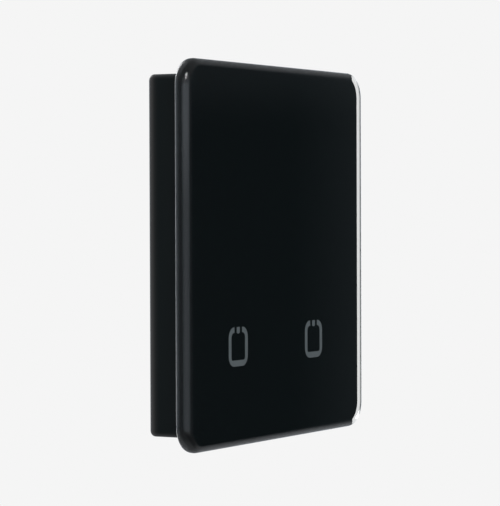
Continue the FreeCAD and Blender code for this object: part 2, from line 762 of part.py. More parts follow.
def board_screws():
    """The four identical screws of the board, with crossed recesses."""
    body = new_body("board_screws")
    places = four_ways(SCREW_SPREAD, SCREW_RISE)
    shanks = front_sketch(body, f"({BOARD_BACK} - screw_reach)")
    for x, z in places:
        circle(shanks, "screw_shank", x, z)
    pad(body, shanks, "(screw_reach + board_thick)")
    heads = front_sketch(body, BOARD_FRONT)
    for x, z in places:
        circle(heads, "screw_head", x, z)
    pad(body, heads, "screw_head_tall")
    top = f"({BOARD_FRONT} + screw_head_tall)"
    for width, height in (("head_recess", "head_recess_wide"), ("head_recess_wide", "head_recess")):
        recess = front_sketch(body, top)
        for x, z in places:
            rectangle(recess, width, height, x, z)
        pocket(body, recess, "head_recess_deep")


def biarc(start, start_way, end, end_way):
    """Two tangent arcs from one point and direction to another."""
    gap = end - start
    ways = start_way + end_way
    a = 2 * (1 - start_way.dot(end_way))
    b = 2 * gap.dot(ways)
    c = -gap.dot(gap)
    reach = (-b + math.sqrt(b * b - 4 * a * c)) / (2 * a)
    joint = (start + end + (start_way - end_way) * reach) * 0.5
    arcs = []
    for point, way, other in ((start, start_way, joint), (end, end_way * -1, joint)):
        chord = other - point
        unit = chord * (1 / chord.Length)
        bisector = (way + unit).normalize()
        half_way = point + bisector * (chord.Length / (2 * bisector.dot(unit)))
        arcs.append((point, half_way, other))
    first, second = arcs
    return [Part.Arc(*first).toShape(), Part.Arc(second[2], second[1], second[0]).toShape()]


def spring_path(x, z):
    """The wire's middle line: a straight pin, then a coil that widens towards the glass."""
    wire = value("spring_wire")
    foot, head = value("spring_foot") / 2, value("spring_head") / 2
    floor = value(BOARD_FRONT)
    low = floor + value("spring_rise")
    high = value(FILM_BACK) - value("spring_play") - wire / 2
    quarters = round(value("spring_turns") * 4)
    turn = 2 * math.pi * value("spring_turns")

    def at(share):
        angle = turn * share
        radius = foot + (head - foot) * share
        return Vector(x + radius * math.cos(angle), -(low + (high - low) * share), z + radius * math.sin(angle))

    def way(share):
        step = 1e-4
        return (at(share + step) - at(share - step)).normalize()

    shares = [1 / quarters + (1 - 1 / quarters) * step / (quarters - 1) for step in range(quarters)]
    bottom = Vector(x + foot, -(floor - value("spring_pin")), z)
    surface = Vector(x + foot, -floor, z)
    edges = [Part.makeLine(bottom, surface)]
    edges += biarc(surface, Vector(0, -1, 0), at(shares[0]), way(shares[0]))
    for before, after in zip(shares, shares[1:]):
        edges += biarc(at(before), way(before), at(after), way(after))
    return edges


def report_gap(label, edges):
    """Prints the wire's least gap to itself and its tightest bend."""
    wire = value("spring_wire")
    points, lengths, run = [], [], 0.0
    for edge in edges:
        for point in edge.discretize(Number=13)[:-1]:
            if points:
                run += (point - points[-1]).Length
            points.append(point)
            lengths.append(run)
    apart = math.pi * value("spring_foot") / 2
    gaps = [
        (points[i] - points[j]).Length - wire
        for i in range(len(points))
        for j in range(i)
        if lengths[i] - lengths[j] > apart
    ]
    bends = [edge.Curve.Radius for edge in edges if hasattr(edge.Curve, "Radius")]
    print(f"{label}: least gap to itself {min(gaps):.2f} mm, tightest bend {min(bends):.2f} mm")


def touch_spring(label, sign):
    """One wound spring that carries the touch signal from the board to the glass."""
    x = sign * value(KEY_X)
    edges = spring_path(x, value(KEY_Z))
    report_gap(label, edges)
    spine = Part.Wire(edges)
    start = edges[0].Vertexes[0].Point
    sides = int(value("spring_sides"))
    corners = [
        start + Rotation(Vector(0, 1, 0), 360 * step / sides).multVec(Vector(value("spring_wire") / 2, 0, 0))
        for step in range(sides + 1)
    ]
    profile = Part.makePolygon(corners)
    spring = DOC.addObject("Part::Feature", label)
    spring.Label = label
    spring.Shape = spine.makePipeShell([profile], True, False)
    spring.Placement = Placement()
    PIECES.append(spring)


def key_leds():
    """The two lamps behind the marks."""
    body = new_body("key_leds")
    bases = front_sketch(body, BOARD_FRONT)
    lenses = front_sketch(body, f"({BOARD_FRONT} + lamp_tall)")
    for sign in ("-", ""):
        rectangle(bases, "lamp_length", "lamp_width", f"({sign}{KEY_X})", KEY_Z)
        rectangle(lenses, "lens_length", "lamp_width", f"({sign}{KEY_X})", KEY_Z)
    pad(body, bases, "lamp_tall")
    pad(body, lenses, "lens_tall")


def touch_chip():
    """The touch controller: a moulded body with two rows of bent leads."""
    body = new_body("touch_chip")
    case = front_sketch(body, f"({BOARD_FRONT} + chip_lift)")
    rectangle(case, "chip_length", "chip_width", "chip_x", "chip_z")
    pad(body, case, "chip_tall")
    first = "(chip_x - lead_pitch * (lead_count - 1) / 2 - lead_width / 2)"
    leads = upright_sketch(body, first)
    foot = f"(-{BOARD_FRONT})"
    foot_top = f"({foot} - lead_thick)"
    shoulder = f"({foot} - chip_lift - chip_tall / 2)"
    shoulder_low = f"({shoulder} + lead_thick)"
    for sign in ("-", ""):
        case_edge = f"(chip_z + {sign}1 * chip_width / 2)"
        tip = f"({case_edge} + {sign}1 * lead_reach)"
        heel = f"({tip} - {sign}1 * lead_foot)"
        knee = f"({heel} - {sign}1 * lead_thick)"
        corners = (
            (foot, tip),
            (foot_top, tip),
            (foot_top, heel),
            (shoulder, heel),
            (shoulder, case_edge),
            (shoulder_low, case_edge),
            (shoulder_low, knee),
            (foot, knee),
        )
        polygon(leads, corners)
    row = pad(body, leads, "lead_width")
    pattern = body.newObject("PartDesign::LinearPattern", "touch_chip_rows")
    pattern.Originals = [row]
    across = next(item for item in body.Origin.OriginFeatures if item.Role == "X_Axis")
    pattern.Direction = (across, [""])
    pattern.Mode = "Spacing"
    pattern.setExpression("Offset", bound("lead_pitch"))
    pattern.setExpression("Occurrences", bound("lead_count"))
    before = row.Shape.Volume
    body.Tip = pattern
    if volume(body) <= before:
        raise RuntimeError("the chip's leads weren't repeated")


def radio_board():
    """The radio module's own small board, with half-round pads along both sides."""
    body = new_body("radio_board")
    outline = front_sketch(body, BOARD_FRONT)
    rectangle(outline, "radio_width", "radio_height", "radio_x", "radio_z")
    pad(body, outline, "radio_thick")
    notches = front_sketch(body, f"({BOARD_FRONT} + radio_thick)")
    for step in range(int(value("pin_count"))):
        z = f"(radio_z - radio_height / 2 + pin_pitch * ({step} + 1))"
        for sign in ("-", ""):
            circle(notches, "pin_notch", f"(radio_x + {sign}1 * radio_width / 2)", z)
    pocket(body, notches, "radio_thick")


def radio_shield():
    """The pressed can over the radio's circuit."""
    body = new_body("radio_shield")
    sketch = front_sketch(body, f"({BOARD_FRONT} + radio_thick)")
    z = "(radio_z - radio_height / 2 + shield_inset + shield_height / 2)"
    rounded_rectangle(sketch, "shield_width", "shield_height", "shield_round", "radio_x", z)
    can = pad(body, sketch, "shield_tall")
    top = value(f"({BOARD_FRONT} + radio_thick + shield_tall)")
    dress(body, "Fillet", can, edges_at(can, top), "shield_edge")


def radio_antenna():
    """The printed antenna on the radio module: one folded copper strip."""
    body = new_body("radio_antenna")
    sketch = front_sketch(body, f"({BOARD_FRONT} + radio_thick)")
    high = "(radio_z + radio_height / 2 - shield_inset)"
    low = f"({high} - trace_tall)"
    count = int(value("trace_turns"))
    left = f"(radio_x - trace_pitch * {count} - trace_width / 2)"
    polygon(sketch, meander(left, high, low, count))
    pad(body, sketch, "trace_thick")


def meander(left, high, low, count):
    """The outline of a strip that runs up and down, from its left foot round and back."""
    there, back = [(left, low)], []
    for step in range(2 * count):
        near = f"({left} + trace_pitch * {step})"
        far = f"({left} + trace_pitch * {step + 1})"
        if step % 2 == 0:
            there += [(near, high), (f"({far} + trace_width)", high)]
            back += [(f"({near} + trace_width)", f"({high} - trace_width)"), (far, f"({high} - trace_width)")]
        else:
            there += [(f"({near} + trace_width)", f"({low} + trace_width)"), (far, f"({low} + trace_width)")]
            back += [(near, low), (f"({far} + trace_width)", low)]
    start = (f"({left} + trace_width)", low)
    end = f"({left} + trace_pitch * {2 * count})"
    there += [(end, high), (f"({end} + trace_width)", high)]
    back[-1] = (f"({end} + trace_width)", low)
    return there + back[::-1] + [start]


def crystal():
    """The radio's timing crystal: a ceramic case with a metal lid."""
    body = new_body("crystal")
    case = front_sketch(body, BOARD_FRONT)
    rectangle(case, "crystal_length", "crystal_width", "crystal_x", "crystal_z")
    pad(body, case, "(crystal_tall - crystal_lid)")
    lid = front_sketch(body, f"({BOARD_FRONT} + crystal_tall - crystal_lid)")
    inset = "(2 * crystal_lid)"
    rectangle(lid, f"(crystal_length - {inset})", f"(crystal_width - {inset})", "crystal_x", "crystal_z")
    pad(body, lid, "crystal_lid")


def board_parts(label, places, tall):
    """A set of identical small parts on the board."""
    body = new_body(label)
    sketch = front_sketch(body, BOARD_FRONT)
    for x, z in places:
        rectangle(sketch, "part_length", "part_width", f"({x})", f"({z})")
    pad(body, sketch, tall)
    return body


def board_capacitors():
    """The small capacitors and the one large one beside the radio."""
    body = board_parts("board_capacitors", CAPACITOR_PLACES, "part_tall")
    bulk = front_sketch(body, BOARD_FRONT)
    x, z = BULK_PLACE
    rectangle(bulk, "bulk_length", "bulk_width", f"({x})", f"({z})")
    pad(body, bulk, "bulk_tall")


def pair_switch():
    """The small switch behind the pairing button, with a bore for its plunger."""
    body = new_body("pair_switch")
    case = front_sketch(body, BOARD_FRONT)
    rectangle(case, "switch_length", "switch_width", BUTTON_X, f"({SWITCH_BOTTOM} + switch_width / 2)")
    pad(body, case, "switch_tall")
    bore = level_sketch(body, SWITCH_BOTTOM)
    circle(bore, "(plunger_diameter + 2 * plunger_play)", BUTTON_X, f"(-{BUTTON_DEPTH})")
    depth = "(plunger_depth + button_travel + plunger_spare)"
    pocket(body, bore, depth, along=True)


def switch_plunger():
    """The plunger between the button and its switch."""
    body = new_body("switch_plunger")
    base = f"({BAY_BOTTOM} + button_play + flange_tall)"
    sketch = level_sketch(body, base)
    circle(sketch, "plunger_diameter", BUTTON_X, f"(-{BUTTON_DEPTH})")
    pad(body, sketch, f"({SWITCH_BOTTOM} + plunger_depth - {base})")


def pair_button():
    """The pairing button in the bottom wall, with a flange that keeps it in."""
    body = new_body("pair_button")
    y = f"(-{BUTTON_DEPTH})"
    stem = level_sketch(body, f"({BOTTOM} + button_sink)")
    pill(stem, "button_length", "button_width", BUTTON_X, y)
    pad(body, stem, "(wall_thick + button_play - button_sink)")
    flange = level_sketch(body, f"({BAY_BOTTOM} + button_play)")
    grown = "2 * button_flange"
    pill(flange, f"(button_length + {grown})", f"(button_width + {grown})", BUTTON_X, y)
    pad(body, flange, "flange_tall")


def rounded_path(points, bend):
    """Straight runs through the points, joined by arcs of one radius."""
    edges, start = [], points[0]
    for before, corner, after in zip(points, points[1:], points[2:]):
        back = (before - corner).normalize()
        onward = (after - corner).normalize()
        half = back.getAngle(onward) / 2
        cut = bend / math.tan(half)
        middle = corner + (back + onward).normalize() * (bend / math.sin(half) - bend)
        edges.append(Part.makeLine(start, corner + back * cut))
        edges.append(Part.Arc(corner + back * cut, middle, corner + onward * cut).toShape())
        start = corner + onward * cut
    edges.append(Part.makeLine(start, points[-1]))
    return Part.Wire(edges)


def leaf(label, width, points, side):
    """A bent strip of spring metal on one side of its path in depth and height."""
    thick = side * value("leaf_thick")
    path = rounded_path([Vector(-value(width) / 2, -depth, z) for depth, z in points], value("leaf_bend"))
    strip = path.makeOffset2D(thick, 0, True, True)
    contact = DOC.addObject("Part::Feature", label)
    contact.Label = label
    contact.Shape = strip.extrude(Vector(value(width), 0, 0))
    contact.Placement = Placement()
    PIECES.append(contact)


def positive_contact():
    """The leaf on the front of the board that presses on the cell's rim."""
    board = value(BOARD_FRONT)
    edge = value(BAY_CUT_TOP)
    rim = value(CELL_Z) + value("cell_diameter") / 2
    touch = rim + value("contact_play") + value("leaf_thick")
    high = value(TRAY_FRONT) - value("leaf_inset")
    points = (
        (board, edge + value("contact_pad")),
        (board, edge - value("leaf_bend")),
        (high, edge - value("contact_room")),
        (high, touch + value("leaf_lead")),
        ((high + value(CELL_BACK)) / 2, touch),
        (value(CELL_BACK) + value("leaf_bend"), touch + value("leaf_lead")),
    )
    leaf("positive_contact", "plus_width", points, 1)


def negative_contact():
    """The leaf under the tray that presses on the cell's cap."""
    board = value(BOARD_BACK)
    edge = value(BAY_CUT_TOP)
    touch = value(CELL_BACK) - value("contact_play")
    low = value(FLOOR_FRONT) + value("leaf_inset")
    middle = value(CELL_Z)
    points = (
        (board, edge + value("contact_pad")),
        (board, edge - value("leaf_bend")),
        (low, edge - value("contact_room")),
        (low, middle + value("leaf_reach")),
        (touch, middle),
        (low + value("contact_play"), middle - value("leaf_tail")),
    )
    leaf("negative_contact", "minus_width", points, -1)


def battery_tray():
    """The pull-out tray: round cell pocket, gate for the contacts and a thumb groove."""
    body = new_body("battery_tray")
    outline = front_sketch(body, TRAY_BACK)
    tall = f"({TRAY_TOP} - {BOTTOM})"
    middle = f"(({TRAY_TOP} + {BOTTOM}) / 2)"
    rectangle(outline, TRAY_WIDTH, tall, "0", middle)
    block = pad(body, outline, f"({TRAY_FRONT} - {TRAY_BACK})")
    dress(body, "Fillet", block, end_corners(block, value(TRAY_TOP)), "tray_corner")
    well = front_sketch(body, TRAY_FRONT)
    circle(well, "(cell_diameter + 2 * cell_play)", "0", CELL_Z)
    pocket(body, well, f"({TRAY_FRONT} - {CELL_BACK})")
    gate = front_sketch(body, TRAY_FRONT)
    gate_tall = f"({TRAY_TOP} - {CELL_Z})"
    rectangle(gate, "tray_gate", gate_tall, "0", f"({CELL_Z} + {gate_tall} / 2)")
    pocket(body, gate, f"({TRAY_FRONT} - {CELL_BACK})")
    slot = front_sketch(body, CELL_BACK)
    slot_tall = f"({gate_tall} + tray_slot_spare)"
    rectangle(slot, "tray_slot", slot_tall, "0", f"({TRAY_TOP} - {slot_tall} / 2)")
    pocket(body, slot, "tray_floor")
    thumb = level_sketch(body, BOTTOM)
    pill(thumb, "thumb_length", "thumb_width", "0", f"(-({TRAY_FRONT} + {TRAY_BACK}) / 2)")
    pocket(body, thumb, "thumb_depth", along=True)


def coin_cell():
    """The coin cell: a can with a round rim and a stepped cap towards the wall."""
    body = new_body("coin_cell")
    cap = front_sketch(body, CELL_BACK)
    circle(cap, "cell_cap", "0", CELL_Z)
    pad(body, cap, "cell_step")
    can = front_sketch(body, f"({CELL_BACK} + cell_step)")
    circle(can, "cell_diameter", "0", CELL_Z)
    whole = pad(body, can, "(cell_thick - cell_step)")
    dress(body, "Fillet", whole, edges_at(whole, value(f"({CELL_BACK} + cell_thick)")), "cell_round")


def check_and_write():
    """Stops if any object failed, then writes each sub-part to its own file."""
    DOC.recompute()
    failed = [item.Name for item in DOC.Objects if {"Invalid", "Error"} & set(item.State)]
    if failed:
        raise RuntimeError(f"these objects failed: {failed}")
    for item in PIECES:
        if item.Shape.isNull() or not item.Shape.isValid() or not item.Shape.Solids:
            raise RuntimeError(f"{item.Label} has no valid solid")
    os.makedirs("parts", exist_ok=True)
    for item in PIECES:
        item.Shape.exportStep(f"parts/{item.Label}.step")
        print(f"{item.Label}: {len(item.Shape.Solids)} solids, {item.Shape.Volume:.1f} mm3")


glass_panel()
printed_film([power_mark("left_power_mark", f"(-{KEY_X})"), power_mark("right_power_mark", KEY_X)])
panel_tape()
carrier_frame()
carrier_posts()
light_shields()
housing()
wall_plate()
adhesive_pads()
discs("keeper_discs", "disc_diameter", "(mount_thick - disc_thick)", "disc_thick")
discs("magnets", "magnet_diameter", "(mount_thick + magnet_skin)", "magnet_thick")
circuit_board()
board_screws()
touch_spring("left_touch_spring", -1)
touch_spring("right_touch_spring", 1)
key_leds()
touch_chip()
radio_board()
radio_shield()
radio_antenna()
crystal()
board_capacitors()
board_parts("board_resistors", RESISTOR_PLACES, "resistor_tall")
pair_switch()
switch_plunger()
pair_button()
positive_contact()
negative_contact()
battery_tray()
coin_cell()
check_and_write()
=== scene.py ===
import logging
import math
from dataclasses import dataclass, replace
from enum import Enum
from functools import cache
from typing import Any, Iterable, Sequence

import bmesh
import bpy
from mathutils import Matrix, Vector


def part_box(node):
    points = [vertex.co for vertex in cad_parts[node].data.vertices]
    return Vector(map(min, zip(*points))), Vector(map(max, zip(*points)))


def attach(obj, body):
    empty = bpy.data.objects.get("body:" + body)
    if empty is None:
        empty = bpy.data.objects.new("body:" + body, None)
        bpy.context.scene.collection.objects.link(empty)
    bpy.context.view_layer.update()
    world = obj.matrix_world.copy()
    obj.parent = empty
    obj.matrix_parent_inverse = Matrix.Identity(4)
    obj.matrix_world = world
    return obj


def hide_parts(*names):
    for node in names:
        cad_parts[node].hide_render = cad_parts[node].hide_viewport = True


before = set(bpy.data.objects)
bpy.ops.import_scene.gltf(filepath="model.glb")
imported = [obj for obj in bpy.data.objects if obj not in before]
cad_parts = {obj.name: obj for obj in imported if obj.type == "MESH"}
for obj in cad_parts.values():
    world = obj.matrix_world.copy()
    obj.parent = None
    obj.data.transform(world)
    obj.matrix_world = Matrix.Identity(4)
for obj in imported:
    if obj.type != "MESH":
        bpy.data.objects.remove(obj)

MM = 0.001
SAME_PLACE = 0.0001 * MM
SHARP_EDGE = math.radians(32)
LOG = logging.getLogger("light_switch")
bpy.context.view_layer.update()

Colour = tuple[float, float, float]
Flat = tuple[float, float]
Place = tuple[float, float, float]

EVEN: Place = (1.0, 1.0, 1.0)
NOTHING: Place = (0.0, 0.0, 0.0)


class Body(Enum):
    """The bodies that new pieces ride on."""

    WALL = "wall_mount"
    SWITCH = "switch_body"
    GLASS = "glass_front"
    DRAWER = "battery_drawer"


class Ray(Enum):
    """The kinds of ray that the studio tells apart."""

    CAMERA = "Is Camera Ray"
    GLOSSY = "Is Glossy Ray"
    THROUGH = "Is Transmission Ray"


@dataclass(frozen=True, order=True)
class Box:
    """A box in millimetres. Its corners give the way across, the depth from the wall and the height."""

    low: Place
    high: Place

    @property
    def middle(self) -> Flat:
        """Its middle, across and in height."""
        return (self.low[0] + self.high[0]) / 2, (self.low[2] + self.high[2]) / 2

    @property
    def width(self) -> float:
        """Its size across."""
        return self.high[0] - self.low[0]

    @property
    def height(self) -> float:
        """Its size in height."""
        return self.high[2] - self.low[2]

    @property
    def back(self) -> float:
        """Its depth nearest the wall."""
        return self.low[1]

    @property
    def front(self) -> float:
        """Its depth furthest from the wall."""
        return self.high[1]

    def inside(self, low: Place, high: Place | None = None) -> "Box":
        """The box with its corners moved inwards.

        Args:
            low: how far its lowest corner moves.
            high: how far its highest corner moves, as far as the lowest if it isn't given.

        Returns:
            The smaller box.
        """
        back = low if high is None else high
        risen = tuple(corner + move for corner, move in zip(self.low, low))
        return Box(risen, tuple(corner - move for corner, move in zip(self.high, back)))


class Value:
    """A number in a node tree. Python's operators on it add Math nodes."""

    def __init__(self, nodes: "Nodes", socket: bpy.types.NodeSocket) -> None:
        """Wraps an output socket of one of the nodes."""
        self.nodes = nodes
        self.socket = socket

    def join(self, operation: str, *terms: "Value | float") -> "Value":
        """Adds the Math node of an operation, with its inputs in order."""
        return self.nodes.value(self.nodes.node("Math", {"operation": operation}, dict(enumerate(terms))))

    def __add__(self, other: "Value | float") -> "Value":
        """The sum."""
        return self.join("ADD", self, other)

    def __radd__(self, other: float) -> "Value":
        """The sum, with the number first."""
        return self.join("ADD", other, self)

    def __sub__(self, other: "Value | float") -> "Value":
        """The difference."""
        return self.join("SUBTRACT", self, other)

    def __rsub__(self, other: float) -> "Value":
        """The difference, with the number first."""
        return self.join("SUBTRACT", other, self)

    def __mul__(self, other: "Value | float") -> "Value":
        """The product."""
        return self.join("MULTIPLY", self, other)

    def __rmul__(self, other: float) -> "Value":
        """The product, with the number first."""
        return self.join("MULTIPLY", other, self)

    def __truediv__(self, other: "Value | float") -> "Value":
        """The quotient."""
        return self.join("DIVIDE", self, other)

    def __pow__(self, other: float) -> "Value":
        """The power."""
        return self.join("POWER", self, other)

    def __abs__(self) -> "Value":
        """The size without its sign."""
        return self.join("ABSOLUTE", self)

    def __mod__(self, other: float) -> "Value":
        """The remainder, from 0 up to the divisor."""
        return self.join("FLOORED_MODULO", self, other)

    def __gt__(self, other: "Value | float") -> "Value":
        """One where it is greater, and otherwise zero."""
        return self.join("GREATER_THAN", self, other)

    def __lt__(self, other: "Value | float") -> "Value":
        """One where it is less, and otherwise zero."""
        return self.join("LESS_THAN", self, other)

    def floor(self) -> "Value":
        """The whole number at it or below it."""
        return self.join("FLOOR", self)

    def peak(self, other: "Value | float") -> "Value":
        """The greater of the two."""
        return self.join("MAXIMUM", self, other)

    def cap(self, other: "Value | float") -> "Value":
        """The lesser of the two."""
        return self.join("MINIMUM", self, other)

    def mixed(self, other: "Value", share: float) -> "Value":
        """A mix in which the other has that share."""
        return self * (1 - share) + other * share

    def step(self, low: float, high: float) -> "Value":
        """Rises smoothly from 0 at low to 1 at high."""
        ends = {0: self, 1: low, 2: high}
        return self.nodes.value(self.nodes.node("MapRange", {"interpolation_type": "SMOOTHSTEP"}, ends))


def distance(across: Value, along: Value) -> Value:
    """How far a point of a plane is from zero."""
    return (across * across + along * along) ** 0.5


def shade(colour: Colour, share: float) -> Colour:
    """The colour made lighter or darker by a share."""
    return tuple(min(1.0, part * share) for part in colour)


class Nodes:
    """The nodes of one material or of the world."""

    def __init__(self, tree: bpy.types.NodeTree) -> None:
        """Starts with an empty tree."""
        self.tree = tree
        tree.nodes.clear()

    def node(
        self,
        kind: str,
        settings: dict[str, Any] | None = None,
        sockets: dict[str | int, Any] | None = None,
    ) -> bpy.types.Node:
        """Adds a node.

        Args:
            kind: the node's type, without its ShaderNode prefix.
            settings: its properties, set first.
            sockets: a value, a socket or a Value for each input, by name or number.

        Returns:
            The new node.
        """
        node = self.tree.nodes.new(f"ShaderNode{kind}")
        for name, setting in (settings or {}).items():
            setattr(node, name, setting)
        for key, term in (sockets or {}).items():
            if isinstance(term, Value):
                term = term.socket
            if isinstance(term, bpy.types.NodeSocket):
                self.tree.links.new(term, node.inputs[key])
            else:
                node.inputs[key].default_value = term
        return node

    def value(self, node: bpy.types.Node, key: str | int = 0) -> Value:
        """One of a node's outputs as a number."""
        return Value(self, node.outputs[key])

    def split(self, vector: bpy.types.NodeSocket) -> list[Value]:
        """A vector's X, Y and Z."""
        node = self.node("SeparateXYZ", None, {0: vector})
        return [self.value(node, axis) for axis in range(3)]

    def ray(self, kind: Ray) -> Value:
        """One for a ray of that kind, and otherwise zero."""
        return self.value(self.node("LightPath"), kind.value)

    def spot(self, stretch: Place = EVEN) -> bpy.types.NodeSocket:
        """The shaded point in the object's own frame.

        Args:
            stretch: what each axis is multiplied by, on millimetres.

        Returns:
            The point as a vector.
        """
        place = self.node("TexCoord").outputs["Object"]
        scale = tuple(share / MM for share in stretch)
        return self.node("VectorMath", {"operation": "MULTIPLY"}, {0: place, 1: scale}).outputs[0]

    def axes(self) -> list[Value]:
        """The shaded point's X, Y and Z in millimetres."""
        return self.split(self.spot())

    def noise(self, size: float, detail: float = 2.0, stretch: Place = EVEN) -> Value:
        """Soft random change from 0 to 1.

        Args:
            size: the size of its patches in millimetres.
            detail: how many finer layers it has.
            stretch: what each axis is multiplied by.

        Returns:
            The noise.
        """
        sockets = {"Vector": self.spot(stretch), "Scale": 1 / size, "Detail": detail}
        return self.value(self.node("TexNoise", None, sockets))

    def cells(self, size: float) -> Value:
        """The distance to the nearest of many scattered cells, in shares of their size in millimetres."""
        node = self.node("TexVoronoi", None, {"Vector": self.spot(), "Scale": 1 / size})
        return self.value(node, "Distance")

    def chance(self, first: Value, second: Value) -> Value:
        """A random number from 0 to 1 for each pair of numbers."""
        pair = self.node("CombineXYZ", None, {0: first, 1: second})
        return self.value(self.node("TexWhiteNoise", {"noise_dimensions": "2D"}, {0: pair.outputs[0]}))

    def tile(self, size: float, x: Value, z: Value) -> Value:
        """A random number from 0 to 1 for each patch with slanted and straight sides.

        Args:
            size: the size of a patch in millimetres.
            x: across, in millimetres.
            z: height, in millimetres.

        Returns:
            The patch's number.
        """
        place = self.node("CombineXYZ", None, {0: x, 1: z})
        settings = {"distance": "MANHATTAN", "voronoi_dimensions": "2D"}
        cell = self.node("TexVoronoi", settings, {"Vector": place.outputs[0], "Scale": 1 / size})
        return self.value(self.node("SeparateColor", None, {0: cell.outputs["Color"]}))

    def blend(self, share: Value | float, first: Any, second: Any) -> bpy.types.NodeSocket:
        """A mix of two colours.

        Args:
            share: how much of the second there is.
            first: the first colour, or what gives one.
            second: the second colour, or what gives one.

        Returns:
            The mixed colour.
        """
        first, second = ((*c, 1.0) if isinstance(c, tuple) else c for c in (first, second))
        # Of a Mix node's sockets, inputs 6 and 7 and output 2 are the ones for colours.
        return self.node("Mix", {"data_type": "RGBA"}, {0: share, 6: first, 7: second}).outputs[2]

    def shades(self, share: Value, colour: Colour, tones: Flat) -> bpy.types.NodeSocket:
        """A colour that changes from one tone to another, each a share of the colour."""
        return self.blend(share, shade(colour, tones[0]), shade(colour, tones[1]))

    def bump(self, height: Value, depth: float) -> bpy.types.NodeSocket:
        """The normal of a surface whose height of 0 to 1 comes to a depth in millimetres."""
        return self.node("Bump", None, {"Height": height, "Distance": depth * MM}).outputs[0]


@dataclass(frozen=True)
class Finish:
    """What every finish has: a name, and a surface made from nodes."""

    name: str

    def sockets(self, nodes: Nodes) -> dict[str, Any]:
        """The Principled shader's sockets.

        Args:
            nodes: the material's nodes.

        Returns:
            What goes into each named socket.
        """
        raise NotImplementedError

    @cache
    def material(self) -> bpy.types.Material:
        """The finish as a material, made once.

        Returns:
            The material.
        """
        made = bpy.data.materials.new(f"{self.name}_finish")
        made.use_nodes = True
        nodes = Nodes(made.node_tree)
        surface = nodes.node("BsdfPrincipled", None, self.sockets(nodes))
        nodes.node("OutputMaterial", None, {"Surface": surface.outputs[0]})
        return made


@dataclass(frozen=True)
class Moulding(Finish):
    """Moulded plastic or rubber with a fine eroded grain and faint flow marks."""

    colour: Colour
    roughness: float = 0.5
    grain: float = 0.14
    depth: float = 0.006
    flow: float = 0.14
    specular: float = 0.5
    flow_size: float = 9.0
    flow_stretch: Place = (1.0, 1.0, 0.35)
    cloud_size: float = 2.6
    cloud: float = 0.3
    mark_dull: float = 0.08
    grain_dull: float = 0.06

    def sockets(self, nodes: Nodes) -> dict[str, Any]:
        """The Principled shader's sockets.

        Args:
            nodes: the material's nodes.

        Returns:
            What goes into each named socket.
        """
        grain = nodes.noise(self.grain, detail=3.0)
        flow = nodes.noise(self.flow_size, stretch=self.flow_stretch)
        marks = flow.mixed(nodes.noise(self.cloud_size, detail=4.0), self.cloud)
        dull = self.mark_dull * (marks - 0.5) + self.grain_dull * (grain - 0.5)
        return {
            "Base Color": nodes.shades(marks, self.colour, (1 - self.flow, 1 + self.flow)),
            "Roughness": self.roughness + dull,
            "Specular IOR Level": self.specular,
            "Normal": nodes.bump(grain, self.depth),
        }


@dataclass(frozen=True)
class RearHighlightMoulding(Moulding):
    """Moulded plastic with a painted highlight: paler near its rear edge, most on the outside walls, where
    light catches the rear round.

    The pairs give where a change starts and where it ends, in millimetres or in shares of a turn.
    """

    # Painted highlight: the paler colour of the rear band, standing in for light on the rear round.
    rear: Colour = (0.018, 0.018, 0.018)
    rear_highlight_fade: Flat = (1.0, 3.2)
    # Painted highlight: the palest colour, at the rear edge of the outer walls.
    edge: Colour = (0.05, 0.05, 0.05)
    edge_highlight_fade: Flat = (0.9, 2.2)
    outer_wall: Flat = (38.3, 38.6)
    rear_facing: Flat = (0.5, 0.9)

    def sockets(self, nodes: Nodes) -> dict[str, Any]:
        """The Principled shader's sockets.

        Args:
            nodes: the material's nodes.

        Returns:
            What goes into each named socket.
        """
        sockets = super().sockets(nodes)
        x, y, z = nodes.axes()
        depth = y * -1.0
        outside = abs(x).peak(abs(z)).step(*self.outer_wall)
        normal = nodes.split(nodes.node("NewGeometry").outputs["Normal"])
        sideways = 1.0 - normal[1].step(*self.rear_facing)
        # Painted highlight: the outer side walls get paler towards their rear edge, where light catches the
        # rear round.
        painted_highlight = outside * sideways * (1.0 - depth.step(*self.edge_highlight_fade))
        rear_highlighted = nodes.blend(depth.step(*self.rear_highlight_fade), self.rear, sockets["Base Color"])
        sockets["Base Color"] = nodes.blend(painted_highlight, rear_highlighted, self.edge)
        return sockets


@dataclass(frozen=True)
class ClearGlass(Finish):
    """Polished float glass, faintly green, with the least of wiping marks."""

    tint: Colour
    tones: Flat = (1.0, 0.985)
    smear: float = 0.02
    wipe_size: float = 14.0
    wipe_stretch: Place = (1.0, 1.0, 0.3)
    wipe_edge: Flat = (0.5, 0.8)
    ior: float = 1.5

    def sockets(self, nodes: Nodes) -> dict[str, Any]:
        """The Principled shader's sockets.

        Args:
            nodes: the material's nodes.

        Returns:
            What goes into each named socket.
        """
        wiped = nodes.noise(self.wipe_size, detail=3.0, stretch=self.wipe_stretch)
        wiped = wiped.step(*self.wipe_edge)
        return {
            "Base Color": nodes.shades(wiped, self.tint, self.tones),
            "Roughness": wiped * self.smear,
            "IOR": self.ior,
            "Transmission Weight": 1.0,
        }


